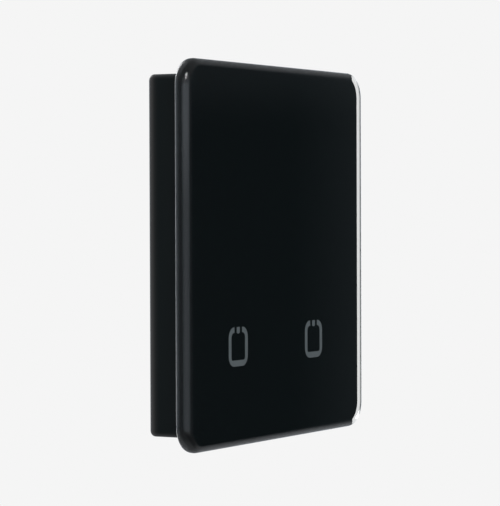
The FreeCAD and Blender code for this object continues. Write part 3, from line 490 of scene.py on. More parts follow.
@dataclass(frozen=True)
class Ink(Finish):
    """A screen print on the back of the glass, seen through it."""

    colour: Colour
    # Painted light: a glow that stands in for the light that the glass keeps from the print.
    glow: Colour = (0.0, 0.0, 0.0)
    tones: Flat = (0.85, 1.15)
    painted_glow_tones: Flat = (0.9, 1.08)
    mesh: float = 0.11
    weave: float = 0.25
    cloud_size: float = 3.2
    roughness: float = 0.55
    dull: float = 0.1

    def sockets(self, nodes: Nodes) -> dict[str, Any]:
        """The Principled shader's sockets.

        Args:
            nodes: the material's nodes.

        Returns:
            What goes into each named socket.
        """
        x, _, z = nodes.axes()
        threads = abs(x % self.mesh - self.mesh / 2) + abs(z % self.mesh - self.mesh / 2)
        cloud = nodes.noise(self.cloud_size)
        share = cloud.mixed(threads / self.mesh, self.weave)
        return {
            "Base Color": nodes.shades(share, self.colour, self.tones),
            "Roughness": self.roughness + self.dull * cloud,
            "Specular IOR Level": 0.0,
            "Emission Color": nodes.shades(share, self.glow, self.painted_glow_tones),
            "Emission Strength": 1.0 if max(self.glow) > 0 else 0.0,
        }


@dataclass(frozen=True)
class Foam(Finish):
    """Closed-cell foam or foam tape."""

    colour: Colour
    cell: float = 0.35
    depth: float = 0.05
    tones: Flat = (0.8, 1.12)
    cloud_size: float = 5.0
    roughness: float = 0.82
    dull: float = 0.1
    specular: float = 0.3

    def sockets(self, nodes: Nodes) -> dict[str, Any]:
        """The Principled shader's sockets.

        Args:
            nodes: the material's nodes.

        Returns:
            What goes into each named socket.
        """
        cells = nodes.cells(self.cell)
        cloud = nodes.noise(self.cloud_size)
        return {
            "Base Color": nodes.shades(cloud.mixed(cells, 0.5), self.colour, self.tones),
            "Roughness": self.roughness + self.dull * cloud,
            "Specular IOR Level": self.specular,
            "Normal": nodes.bump(cells, self.depth),
        }


@dataclass(frozen=True)
class Liner(Finish):
    """Waxed paper on the back of a foam pad."""

    colour: Colour
    tones: Flat = (0.93, 1.03)
    fibre_size: float = 0.5
    fibre_stretch: Place = (0.25, 1.0, 1.0)
    fibre: float = 0.3
    crease_size: float = 12.0
    depth: float = 0.03
    roughness: float = 0.34
    dull: float = 0.16

    def sockets(self, nodes: Nodes) -> dict[str, Any]:
        """The Principled shader's sockets.

        Args:
            nodes: the material's nodes.

        Returns:
            What goes into each named socket.
        """
        fibre = nodes.noise(self.fibre_size, detail=5.0, stretch=self.fibre_stretch)
        crease = nodes.noise(self.crease_size)
        return {
            "Base Color": nodes.shades(fibre, self.colour, self.tones),
            "Roughness": self.roughness + self.dull * fibre,
            "Normal": nodes.bump(crease.mixed(fibre, self.fibre), self.depth),
        }


@dataclass(frozen=True)
class Metal(Finish):
    """Plated or bare metal, brushed along one axis or drawn."""

    colour: Colour
    roughness: float = 0.3
    stretch: Place = (0.06, 1.0, 1.0)
    depth: float = 0.004
    stain: float = 0.12
    brush_size: float = 0.12
    cloud_size: float = 3.0
    spot_size: float = 0.9
    spot_edge: Flat = (0.62, 0.75)
    spots: float = 0.3
    polish: float = 0.06
    brush_dull: float = 0.14
    cloud_dull: float = 0.08

    def sockets(self, nodes: Nodes) -> dict[str, Any]:
        """The Principled shader's sockets.

        Args:
            nodes: the material's nodes.

        Returns:
            What goes into each named socket.
        """
        brush = nodes.noise(self.brush_size, detail=3.0, stretch=self.stretch)
        cloud = nodes.noise(self.cloud_size, detail=4.0)
        stained = cloud.mixed(nodes.noise(self.spot_size).step(*self.spot_edge), self.spots)
        return {
            "Base Color": nodes.shades(stained, self.colour, (1.0, 1 - self.stain)),
            "Metallic": 1.0,
            "Roughness": self.roughness - self.polish + self.brush_dull * brush + self.cloud_dull * cloud,
            "Normal": nodes.bump(brush, self.depth),
        }


@dataclass(frozen=True)
class SolderMask(Finish):
    """Lacquered board: copper areas, straight tracks and vias under the mask, and printed outlines.

    A patch and a pour are measured in pitches. The bare shares say how much has no track, copper or via.
    """

    mask: Colour
    track: Colour
    pitch: float = 1.3
    frames: tuple[Box, ...] = ()
    rings: tuple[tuple[Flat, float], ...] = ()
    patch: float = 7.0
    pour: float = 11.0
    diagonal: float = 0.707
    bare_rows: float = 0.45
    bare_pours: float = 0.55
    bare_vias: float = 0.8
    half_track: float = 0.13
    pad_radius: float = 0.42
    hole_radius: float = 0.2
    pour_height: float = 0.6
    frame_gap: float = 0.3
    half_line: float = 0.09
    half_ring: float = 0.1
    tinned: Colour = (0.42, 0.33, 0.16)
    printed: Colour = (0.62, 0.63, 0.6)
    print_height: float = 0.5
    weave_size: float = 0.35
    weave_stretch: Place = (1.0, 1.0, 0.3)
    weave_tone: float = 0.6
    weave: float = 0.2
    roughness: float = 0.28
    dull: float = 0.14
    coat: float = 0.35
    coat_roughness: float = 0.12
    depth: float = 0.02

    def tracks(self, nodes: Nodes, x: Value, z: Value) -> Value:
        """Straight tracks that run one way in each patch of the board.

        Args:
            nodes: the material's nodes.
            x: across, in millimetres.
            z: height, in millimetres.

        Returns:
            One on a track, and otherwise zero.
        """
        patch = nodes.tile(self.pitch * self.patch, x, z)
        ways = (x, z, (x + z) * self.diagonal, (x - z) * self.diagonal)
        lines = []
        for number, across in enumerate(ways):
            here = (patch > number / len(ways)) * (patch < (number + 1) / len(ways))
            kept = nodes.chance((across / self.pitch).floor(), patch) > self.bare_rows
            lines.append(here * kept * (abs(across % self.pitch - self.pitch / 2) < self.half_track))
        return sum(lines)

    def outlines(self, x: Value, z: Value) -> Value | float:
        """The lines printed round parts and keys.

        Args:
            x: across, in millimetres.
            z: height, in millimetres.

        Returns:
            One on a line, and otherwise zero.
        """
        lines: Value | float = 0.0
        for part in self.frames:
            beyond_x = abs(x - part.middle[0]) - (part.width / 2 + self.frame_gap)
            beyond_z = abs(z - part.middle[1]) - (part.height / 2 + self.frame_gap)
            lines = (abs(beyond_x.peak(beyond_z)) < self.half_line).peak(lines)
        for middle, radius in self.rings:
            beyond = distance(x - middle[0], z - middle[1]) - radius
            lines = (abs(beyond) < self.half_ring).peak(lines)
        return lines

    def sockets(self, nodes: Nodes) -> dict[str, Any]:
        """The Principled shader's sockets.

        Args:
            nodes: the material's nodes.

        Returns:
            What goes into each named socket.
        """
        x, _, z = nodes.axes()
        poured = nodes.tile(self.pitch * self.pour, x, z) > self.bare_pours
        grid = self.pitch * 2
        via = nodes.chance((x / grid).floor(), (z / grid).floor()) > self.bare_vias
        reach = distance(x % grid - grid / 2, z % grid - grid / 2)
        copper = self.tracks(nodes, x, z).peak((reach < self.pad_radius) * via)
        copper = copper.peak(poured * self.pour_height)
        lines = self.outlines(x, z)
        weave = nodes.noise(self.weave_size, detail=3.0, stretch=self.weave_stretch)
        covered = nodes.blend(copper, self.mask, self.track)
        drilled = nodes.blend((reach < self.hole_radius) * via, covered, self.tinned)
        printed = nodes.blend(lines, drilled, self.printed)
        return {
            "Base Color": nodes.blend(weave * self.weave, printed, shade(self.mask, self.weave_tone)),
            "Roughness": self.roughness + self.dull * weave,
            "Coat Weight": self.coat - self.weave * weave,
            "Coat Roughness": self.coat_roughness,
            "Normal": nodes.bump(copper + lines * self.print_height, self.depth),
        }


@dataclass(frozen=True)
class Ceramic(Finish):
    """Fired ceramic or cast resin of a small electronic part."""

    colour: Colour
    roughness: float = 0.5
    gloss: float = 0.0
    tones: Flat = (0.82, 1.15)
    grain_size: float = 0.08
    cloud_size: float = 0.7
    dull: float = 0.16
    depth: float = 0.004

    def sockets(self, nodes: Nodes) -> dict[str, Any]:
        """The Principled shader's sockets.

        Args:
            nodes: the material's nodes.

        Returns:
            What goes into each named socket.
        """
        grain = nodes.noise(self.grain_size, detail=3.0)
        cloud = nodes.noise(self.cloud_size)
        return {
            "Base Color": nodes.shades(cloud, self.colour, self.tones),
            "Roughness": self.roughness + self.dull * (grain - 0.5),
            "Coat Weight": self.gloss * cloud,
            "Normal": nodes.bump(grain, self.depth),
        }


GLASS = ClearGlass("clear_glass", (0.975, 0.985, 0.98))
BLACK_INK = Ink("black_ink", (0.001, 0.0019, 0.0019))
BACKING_INK = Ceramic("backing_ink", (0.009, 0.0095, 0.01), 0.48)
# The grey print's glow is painted light: the marks shine although no lamp lights them.
GREY_INK_PAINTED_GLOW = Ink("grey_ink", (0.03, 0.034, 0.036), (0.077, 0.09, 0.097))
# The housing's finish paints a highlight along its rear edge.
HOUSING_BLACK = RearHighlightMoulding("housing_black", (0.0014, 0.0035, 0.0037), 0.3, 0.16, 0.004, 0.14, 0.22)
CARRIER_BLACK = Moulding("carrier_black", (0.014, 0.015, 0.016), 0.42, 0.2, 0.004)
WALL_BLACK = Moulding("wall_plate_black", (0.016, 0.017, 0.018), 0.52, 0.22, 0.008)
TRAY_BLACK = Moulding("tray_black", (0.011, 0.012, 0.013), 0.44, 0.16, 0.006)
BUTTON_GREY = Moulding("button_grey", (0.028, 0.03, 0.032), 0.4, 0.12, 0.005)
SLEEVE_RUBBER = Moulding("sleeve_rubber", (0.018, 0.018, 0.019), 0.72, 0.3, 0.006, 0.2, 0.35)
SWITCH_PLASTIC = Moulding("switch_plastic", (0.028, 0.028, 0.03), 0.45, 0.1, 0.004)
PLUNGER_CREAM = Moulding("plunger_cream", (0.5, 0.48, 0.43), 0.42, 0.1, 0.004, 0.06)
TAPE_FOAM = Foam("tape_foam", (0.028, 0.028, 0.03), 0.18, 0.02)
PAD_FOAM = Foam("pad_foam", (0.42, 0.42, 0.4), 0.3, 0.05)
PAD_LINER = Liner("pad_liner", (0.74, 0.75, 0.76))
DISC_STEEL = Metal("disc_steel", (0.5, 0.51, 0.52), 0.34)
MAGNET_NICKEL = Metal("magnet_nickel", (0.66, 0.65, 0.62), 0.18, EVEN, 0.003)
SCREW_STEEL = Metal("screw_steel", (0.5, 0.5, 0.5), 0.3, EVEN)
SPRING_NICKEL = Metal("spring_nickel", (0.64, 0.61, 0.56), 0.24, (1.0, 0.1, 1.0))
SHIELD_TIN = Metal("shield_tin", (0.6, 0.59, 0.56), 0.36, (0.05, 1.0, 1.0), 0.005, 0.2)
TRACE_GOLD = Metal("trace_gold", (0.8, 0.56, 0.24), 0.28, EVEN)
CRYSTAL_LID = Metal("crystal_lid", (0.66, 0.64, 0.58), 0.26, (0.1, 1.0, 1.0))
CONTACT_NICKEL = Metal("contact_nickel", (0.64, 0.62, 0.56), 0.28, (1.0, 1.0, 0.08))
CELL_STEEL = Metal("cell_steel", (0.62, 0.62, 0.61), 0.26, (0.08, 1.0, 1.0), 0.004, 0.08)
LEAD_TIN = Metal("lead_tin", (0.62, 0.62, 0.6), 0.32, EVEN)
BOARD_GREEN = SolderMask("board_green", (0.008, 0.06, 0.03), (0.018, 0.105, 0.05))
RADIO_BLUE = SolderMask("radio_blue", (0.007, 0.018, 0.055), (0.014, 0.035, 0.1), 0.7)
CHIP_RESIN = Ceramic("chip_resin", (0.018, 0.018, 0.019), 0.5)
CAPACITOR_TAN = Ceramic("capacitor_tan", (0.4, 0.25, 0.13), 0.42, 0.3)
RESISTOR_BLACK = Ceramic("resistor_black", (0.016, 0.016, 0.018), 0.36, 0.4)
LAMP_WHITE = Ceramic("lamp_white", (0.74, 0.73, 0.68), 0.45)
LENS_YELLOW = Ceramic("lens_yellow", (0.78, 0.66, 0.2), 0.2, 0.8)
CRYSTAL_CERAMIC = Ceramic("crystal_ceramic", (0.3, 0.24, 0.16), 0.5)


def arc(middle: Flat, radius: float, start: float, stop: float, steps: int) -> list[Flat]:
    """Points along an arc.

    Args:
        middle: its middle.
        radius: its radius.
        start: the angle of its first point, in degrees.
        stop: the angle of its last point, in degrees.
        steps: how many steps it has.

    Returns:
        The points.
    """
    angles = [math.radians(start + (stop - start) * step / steps) for step in range(steps + 1)]
    return [(middle[0] + radius * math.cos(angle), middle[1] + radius * math.sin(angle)) for angle in angles]


def rounded_outline(width: float, height: float, corner: float, steps: int) -> list[Flat]:
    """Points round a rectangle with round corners, about its middle.

    Args:
        width: its width.
        height: its height.
        corner: its corners' radius.
        steps: how many steps each corner has.

    Returns:
        The points, as many for any size.
    """
    points = []
    for turn, (sx, sz) in enumerate(((1, 1), (-1, 1), (-1, -1), (1, -1))):
        middle = (sx * (width / 2 - corner), sz * (height / 2 - corner))
        points += arc(middle, corner, 90 * turn, 90 * (turn + 1), steps)
    return points


def row(outline: Iterable[Flat], depth: float, middle: Flat = (0.0, 0.0)) -> list[Place]:
    """A flat outline about a middle as points at one depth."""
    return [(middle[0] + x, depth, middle[1] + z) for x, z in outline]


class Shape:
    """A mesh under construction, in millimetres: across, depth from the wall, and height."""

    def __init__(self) -> None:
        """Starts with an empty mesh."""
        self.mesh = bmesh.new()

    def skin(self, rows: Sequence[Sequence[Place]], slot: int = 0, capped: bool = True) -> None:
        """Adds a skin over closed rows of points.

        Args:
            rows: rows with as many points each.
            slot: the material's slot.
            capped: whether the first and last rows are closed with faces.
        """
        rings = []
        for points in rows:
            rings.append([self.mesh.verts.new((x * MM, -depth * MM, z * MM)) for x, depth, z in points])
        faces = []
        for low, high in zip(rings, rings[1:]):
            for step, corner in enumerate(low):
                after = (step + 1) % len(low)
                faces.append((corner, low[after], high[after], high[step]))
        if capped:
            faces += [rings[0][::-1], rings[-1]]
        for face in faces:
            self.mesh.faces.new(face).material_index = slot

    def block(self, box: Box, bevel: float, slot: int = 0) -> None:
        """Adds a block with soft edges.

        Args:
            box: the space that it fills.
            bevel: how far its edges are rounded.
            slot: the material's slot.
        """
        # An edge is rounded in two flats that meet at this share of the bevel.
        soft = bevel * 0.3
        rows = []
        for inset, depth in (
            (bevel, box.back),
            (soft, box.back + soft),
            (0.0, box.back + bevel),
            (0.0, box.front - bevel),
            (soft, box.front - soft),
            (bevel, box.front),
        ):
            corner = max(bevel * 1.2 - inset, soft)
            flat = rounded_outline(box.width - 2 * inset, box.height - 2 * inset, corner, 3)
            rows.append(row(flat, depth, box.middle))
        self.skin(rows, slot)

    def lathe(
        self,
        profile: Sequence[Flat],
        middle: Flat,
        steps: int,
        slot: int = 0,
        capped: bool = True,
    ) -> None:
        """Adds a form turned about an axis along Y.

        Args:
            profile: radius and depth, from one face to the other.
            middle: the axis's across and height.
            steps: how many steps a turn has.
            slot: the material's slot.
            capped: whether its first and last rings are closed with faces.
        """
        rows = [row(arc(middle, radius, 0, 360, steps)[:-1], depth) for radius, depth in profile]
        self.skin(rows, slot, capped)

    def wire(self, path: Sequence[Vector], radius: float, sides: int = 14) -> None:
        """Adds a round wire along a path.

        Args:
            path: points as across, depth and height.
            radius: the wire's radius.
            sides: how many sides its section has.
        """
        # Any direction will do here that the path doesn't start in.
        side = Vector((0.31, 0.17, 0.93))
        section = arc((0.0, 0.0), radius, 0, 360, sides)[:-1]
        rows = []
        for step, point in enumerate(path):
            ahead = path[min(step + 1, len(path) - 1)] - path[max(step - 1, 0)]
            way = ahead.normalized()
            side = (side - way * side.dot(way)).normalized()
            other = way.cross(side)
            rows.append([tuple(point + side * first + other * second) for first, second in section])
        self.skin(rows)

    def weld(self) -> None:
        """Joins the corners that are in the same place."""
        bmesh.ops.remove_doubles(self.mesh, verts=self.mesh.verts, dist=SAME_PLACE)

    def piece(self, name: str, node: str, body: Body, slot: str, *finishes: Finish) -> bpy.types.Object:
        """Ends the mesh and puts it on its body in place of a node.

        Args:
            name: the piece's name.
            node: the node that it stands for.
            body: the body that it rides on.
            slot: the record's material slot; not used.
            finishes: the finish of each material's slot.

        Returns:
            The new object.
        """
        bmesh.ops.recalc_face_normals(self.mesh, faces=self.mesh.faces)
        data = bpy.data.meshes.new(name)
        self.mesh.to_mesh(data)
        self.mesh.free()
        data.polygons.foreach_set("use_smooth", [len(polygon.vertices) == 4 for polygon in data.polygons])
        data.set_sharp_from_angle(angle=SHARP_EDGE)
        for finish in finishes:
            data.materials.append(finish.material())
        piece = bpy.data.objects.new(name, data)
        bpy.context.scene.collection.objects.link(piece)
        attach(piece, body.value)
        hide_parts(node)
        LOG.info("built %s in place of %s", name, node)
        return piece


def dress(finishes: dict[str, Finish]) -> None:
    """Gives each node its finish.

    Args:
        finishes: what each named node is made of.
    """
    for node, finish in finishes.items():
        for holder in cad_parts[node].material_slots:
            holder.material = finish.material()
        LOG.info("dressed %s in %s", node, finish.name)


def box_of(node: str) -> Box:
    """A node's box at rest."""
    low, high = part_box(node)
    return Box((low.x / MM, -high.y / MM, low.z / MM), (high.x / MM, -low.y / MM, high.z / MM))


def solids_of(node: str) -> list[Box]:
    """The boxes of a node's separate solids.

    Args:
        node: the node's name.

    Returns:
        Each solid's box, from left to right.
    """
    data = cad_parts[node].data
    keys = [tuple(round(part / MM, 3) for part in corner.co) for corner in data.vertices]
    groups = {key: {key} for key in keys}
    for polygon in data.polygons:
        first, *others = (keys[corner] for corner in polygon.vertices)
        for other in others:
            if groups[other] is not groups[first]:
                groups[first] |= groups[other]
                groups.update(dict.fromkeys(groups[other], groups[first]))
    boxes = []
    for points in {id(group): group for group in groups.values()}.values():
        low = [min(point[axis] for point in points) for axis in range(3)]
        high = [max(point[axis] for point in points) for axis in range(3)]
        boxes.append(Box((low[0], -high[1], low[2]), (high[0], -low[1], high[2])))
    return sorted(boxes)


@dataclass
class GlassFront:
    """The glass plate with its print, and the carrier behind it."""

    corner: float = 6.0
    least_corner: float = 0.5
    front_round: float = 1.9
    front_land: float = 0.4
    heel: float = 0.45
    back_land: float = 0.3
    flat_from: float = 6.0
    border: float = 1.25
    ink_lift: float = 0.02
    mark_sunk: float = 0.05
    mark_lift: float = 0.035
    stroke: float = 1.25
    foot_stroke: float = 1.36
    mark_corner: float = 2.45
    foot_corner: float = 0.6
    opening: float = 3.5
    bar: float = 1.42
    bar_length: float = 1.46
    bar_round: float = 0.4
    tape_width: float = 3.6
    tape_corner: float = 0.8
    tape_window_corner: float = 1.5
    tape_swell: float = 0.03
    sleeve_wall: float = 0.8
    sleeve_soft: float = 0.15
    bead_length: float = 0.5
    bead_rise: float = 0.12
    flare: Flat = (0.3, 0.1)
    side_steps: int = 12
    round_steps: int = 16
    corner_steps: int = 20
    mark_steps: int = 12
    tape_steps: int = 6
    sleeve_steps: int = 48

    def build(self) -> None:
        """Builds and dresses every piece of the glass front."""
        self.plate()
        self.film()
        self.mark("left_power_mark")
        self.mark("right_power_mark")
        self.tape()
        self.sleeves()
        dress({"carrier_frame": CARRIER_BLACK, "carrier_posts": CARRIER_BLACK})

    def plate(self) -> None:
        """The glass plate: a round front edge, and a side that draws in a little towards the back."""
        box = box_of("glass_panel")
        start = box.front - self.front_round
        profile = [(self.flat_from, box.back), (self.heel + self.back_land, box.back)]
        for step in range(self.side_steps + 1):
            share = step / self.side_steps
            profile.append((self.heel * (1 - share) ** 3, box.back + (start - box.back) * share))
        profile += arc((self.front_round, start), self.front_round, 180, 90, self.round_steps)[1:]
        profile += [(self.front_round + self.front_land, box.front), (self.flat_from, box.front)]
        rows = []
        for inset, depth in profile:
            side, corner = box.width - 2 * inset, max(self.corner - inset, self.least_corner)
            rows.append(row(rounded_outline(side, side, corner, self.corner_steps), depth))
        shape = Shape()
        shape.skin(rows)
        shape.piece("glass_plate", "glass_panel", Body.GLASS, "clear_glass", GLASS)

    def film(self) -> None:
        """The black print on the back of the glass."""
        box = box_of("printed_film")
        flat = rounded_outline(box.width, box.height, self.corner - self.border, self.round_steps)
        shape = Shape()
        shape.skin([row(flat, depth) for depth in (box.back, box.front, box.front + self.ink_lift)])
        ends = [face for face in shape.mesh.faces if len(face.verts) > 4]
        max(ends, key=lambda face: face.calc_center_median().y).material_index = 1
        shape.piece("black_print", "printed_film", Body.GLASS, "black_print", BLACK_INK, BACKING_INK)

    def mark(self, node: str) -> None:
        """One key's mark: a rounded square ring, open at its top, and a bar in the opening.

        Args:
            node: the node that it stands for.
        """
        box = box_of(node)
        x, z = box.middle
        half = box.width / 2
        back, front = box.back + self.mark_sunk, box.front + self.mark_lift
        outer = self.open_ring(half, half, (self.mark_corner, self.mark_corner))
        inner_corners = (self.mark_corner - self.stroke, self.foot_corner)
        inner = self.open_ring(half - self.stroke, half - self.foot_stroke, inner_corners)
        rows = []
        for (ax, az), (bx, bz) in zip(outer, inner):
            section = ((ax, back, az), (bx, back, bz), (bx, front, bz), (ax, front, az))
            rows.append([(x + dx, depth, z + dz) for dx, depth, dz in section])
        shape = Shape()
        shape.skin(rows)
        side = self.bar / 2
        flat = [(-side, 0.0)]
        for across, rise in arc((0.0, 1.0), 1.0, 180, 360, self.mark_steps):
            flat.append((side * across, self.bar_round * rise - self.bar_length))
        flat.append((side, 0.0))
        shape.skin([row(flat, depth, (x, z + half)) for depth in (back, front)])
        shape.piece(f"{node}_print", node, Body.GLASS, "grey_print", GREY_INK_PAINTED_GLOW)

    def open_ring(self, half: float, drop: float, corners: Flat) -> list[Flat]:
        """A rounded square's outline from the right side of its opening round to the left side.

        Args:
            half: how far its sides and its top are from its middle.
            drop: how far its foot is below its middle.
            corners: the radius of its upper and of its lower corners.

        Returns:
            The points.
        """
        upper, lower = corners
        steps = self.mark_steps
        points = [(self.opening / 2, half)]
        points += arc((half - upper, half - upper), upper, 90, 0, steps)
        points += arc((half - lower, lower - drop), lower, 0, -90, steps)
        points += arc((lower - half, lower - drop), lower, -90, -180, steps)
        points += arc((upper - half, half - upper), upper, 180, 90, steps)
        return points + [(-self.opening / 2, half)]

    def tape(self) -> None:
        """The ring of foam tape behind the print, with sides that bulge a little."""
        box = box_of("panel_tape")
        back, middle, front = box.back, (box.back + box.front) / 2, box.front
        outer, inner, swell = self.tape_corner, self.tape_window_corner, self.tape_swell
        rows = []
        for inset, corner, depth in (
            (0.0, outer, back),
            (-swell, outer + swell, middle),
            (0.0, outer, front),
            (self.tape_width, inner, front),
            (self.tape_width + swell, inner - swell, middle),
            (self.tape_width, inner, back),
            (0.0, outer, back),
        ):
            side = box.width - 2 * inset
            rows.append(row(rounded_outline(side, side, corner, self.tape_steps), depth))
        shape = Shape()
        shape.skin(rows, capped=False)
        shape.weld()
        tape = shape.piece("foam_tape_ring", "panel_tape", Body.GLASS, "bonding_tape", TAPE_FOAM)

    def sleeves(self) -> None:
        """The two rubber sleeves, each with a soft bead at its free end."""
        soft, rise, bead = self.sleeve_soft, self.bead_rise, self.bead_length
        shape = Shape()
        for sleeve in solids_of("light_shields"):
            outer = sleeve.width / 2
            inner = outer - self.sleeve_wall
            foot, top = sleeve.back, sleeve.front
            profile = [
                (inner + soft, foot),
                (outer - soft, foot),
                (outer, foot + soft),
                (outer, foot + bead),
                (outer - rise, foot + bead + rise),
                (outer - rise, top - self.flare[0]),
                (outer, top - self.flare[1]),
                (outer, top),
                (inner, top),
                (inner, foot + soft),
                (inner + soft, foot),
            ]
            shape.lathe(profile, sleeve.middle, self.sleeve_steps, capped=False)
        shape.weld()
        shape.piece("rubber_sleeves", "light_shields", Body.GLASS, "shield_rubber", SLEEVE_RUBBER)


@dataclass
class SwitchBody:
    """The housing with its board, magnets and contacts."""

    key_x: float = 18.4
    key_z: float = -20.7
    key_ring: float = 4.6
    spring_wire: float = 0.4
    spring_foot: float = 6.0
    spring_turns: float = 2.5
    spring_head: float = 7.8
    spring_rise: float = 1.0
    turn_steps: int = 40
    bend_steps: int = 3
    foot_steps: int = 5
    pin_step: float = 0.02
    bend_step: float = 0.1
    cap_share: float = 0.18
    cap_bevel: float = 0.06
    cap_lap: float = 0.7
    chip_sunk: Flat = (0.02, 0.015)
    chip_bevel: float = 0.05
    lamp_case: float = 0.5
    lamp_bevel: float = 0.06
    lens_inset: Flat = (0.35, 0.02)
    lens_sunk: float = 0.1
    lens_bevel: float = 0.1
    case_lift: float = 0.1
    case_bevel: float = 0.12
    leads: int = 8
    lead_pitch: float = 1.27
    lead_reach: float = 1.05
    half_width: float = 0.21
    half_thick: float = 0.1
    shoulder: float = 0.3
    bend: float = 0.12
    knee: Flat = (0.45, 0.2)
    toe: float = 0.55
    lid_inset: float = 0.15
    lid_depth: float = 0.2
    lid_bevel: float = 0.05

    def build(self) -> None:
        """Builds and dresses every piece of the switch body."""
        dress({
            "housing": HOUSING_BLACK,
            "magnets": MAGNET_NICKEL,
            "circuit_board": self.board_green(),
            "board_screws": SCREW_STEEL,
            "radio_board": RADIO_BLUE,
            "radio_shield": SHIELD_TIN,
            "radio_antenna": TRACE_GOLD,
            "pair_switch": SWITCH_PLASTIC,
            "positive_contact": CONTACT_NICKEL,
            "negative_contact": CONTACT_NICKEL,
            "pair_button": BUTTON_GREY,
            "switch_plunger": PLUNGER_CREAM,
        })
        self.spring("left_touch_spring", -1)
        self.spring("right_touch_spring", 1)
        self.chips("board_capacitors", CAPACITOR_TAN, "capacitor_ceramic")
        self.chips("board_resistors", RESISTOR_BLACK, "resistor_film")
        self.lamps()
        self.touch_chip()
        self.crystal()

    def board_green(self) -> SolderMask:
        """The board's finish, with an outline printed round its larger parts and both keys.

        Returns:
            The finish.
        """
        frames = tuple(box_of(node) for node in ("touch_chip", "crystal", "radio_board", "pair_switch"))
        rings = tuple(((sign * self.key_x, self.key_z), self.key_ring) for sign in (-1, 1))
        return replace(BOARD_GREEN, frames=frames, rings=rings)

    def spring(self, node: str, sign: int) -> None:
        """One touch spring: a straight pin and a coil that widens towards the glass.

        Args:
            node: the node that it stands for.
            sign: which side of the middle it is on.
        """
        box, board = box_of(node), box_of("circuit_board").front
        x, z = sign * self.key_x, self.key_z
        foot, head = self.spring_foot / 2, self.spring_head / 2
        pin, bend = self.pin_step, self.bend_step
        path = [Vector((x + foot, box.back + pin * step, z)) for step in (1, 2)]
        path += [Vector((x + foot, board + bend * step, z + pin * step)) for step in range(self.foot_steps)]
        start, end = board + self.spring_rise, box.front - self.spring_wire / 2
        count = int(self.spring_turns * self.turn_steps)
        for step in range(self.bend_steps, count + 1):
            share = step / count
            angle = 2 * math.pi * self.spring_turns * share
            radius = foot + (head - foot) * share
            depth = start + (end - start) * share
            path.append(Vector((x + radius * math.cos(angle), depth, z + radius * math.sin(angle))))
        shape = Shape()
        shape.wire(path, self.spring_wire / 2)
        shape.piece(f"{node}_wire", node, Body.SWITCH, "spring_steel", SPRING_NICKEL)

    def chips(self, node: str, finish: Finish, slot: str) -> None:
        """Small parts with tinned ends.

        Args:
            node: the node that they stand for.
            finish: what their bodies are made of.
            slot: the record's material slot.
        """
        shape = Shape()
        for part in solids_of(node):
            cap = part.width * self.cap_share
            rest = (part.width - cap, 0.0, 0.0)
            shape.block(part.inside((cap * self.cap_lap, *self.chip_sunk)), self.chip_bevel)
            shape.block(part.inside(NOTHING, rest), self.cap_bevel, 1)
            shape.block(part.inside(rest, NOTHING), self.cap_bevel, 1)
        shape.piece(f"{node}_parts", node, Body.SWITCH, slot, finish, LEAD_TIN)

    def lamps(self) -> None:
        """The two lamps: white cases with yellow lenses."""
        across, along = self.lens_inset
        shape = Shape()
        for lamp in solids_of("key_leds"):
            lens = lamp.front - lamp.back - self.lamp_case
            shape.block(lamp.inside(NOTHING, (0.0, lens, 0.0)), self.lamp_bevel)
            foot = (across, self.lamp_case - self.lens_sunk, along)
            shape.block(lamp.inside(foot, (across, 0.0, along)), self.lens_bevel, 1)
        shape.piece("key_lamps", "key_leds", Body.SWITCH, "lamp_resin", LAMP_WHITE, LENS_YELLOW)

    def touch_chip(self) -> None:
        """The touch controller: a moulded case and two rows of bent leads."""
        box = box_of("touch_chip")
        reach, half, thick = self.lead_reach, self.half_width, self.half_thick
        case = box.inside((0.0, self.case_lift, reach), (0.0, 0.0, reach))
        middle, foot = (case.back + case.front) / 2, box.back
        section = ((-half, -thick), (half, -thick), (half, thick), (-half, thick))
        line = (
            (-thick, middle),
            (self.shoulder, middle),
            (self.shoulder + self.bend, middle - self.bend),
            (self.knee[0], foot + self.knee[1]),
            (self.toe, foot + thick),
            (reach, foot + thick),
        )
        shape = Shape()
        shape.block(case, self.case_bevel)
        for number in range(self.leads):
            x = case.middle[0] + self.lead_pitch * (number - (self.leads - 1) / 2)
            for edge, way in ((case.low[2], -1), (case.high[2], 1)):
                rows = []
                for out, depth in line:
                    rows.append([(x + dx, depth + rise, edge + way * out) for dx, rise in section])
                shape.skin(rows, 1)
        shape.piece("touch_controller", "touch_chip", Body.SWITCH, "chip_resin", CHIP_RESIN, LEAD_TIN)

    def crystal(self) -> None:
        """The crystal: a ceramic case with a seam-welded lid."""
        box = box_of("crystal")
        inset = self.lid_inset
        rise = box.front - box.back - self.lid_depth
        shape = Shape()
        shape.block(box.inside(NOTHING, (0.0, inset, 0.0)), self.cap_bevel)
        shape.block(box.inside((inset, rise, inset), (inset, 0.0, inset)), self.lid_bevel, 1)
        shape.piece("timing_crystal", "crystal", Body.SWITCH, "crystal_metal", CRYSTAL_CERAMIC, CRYSTAL_LID)


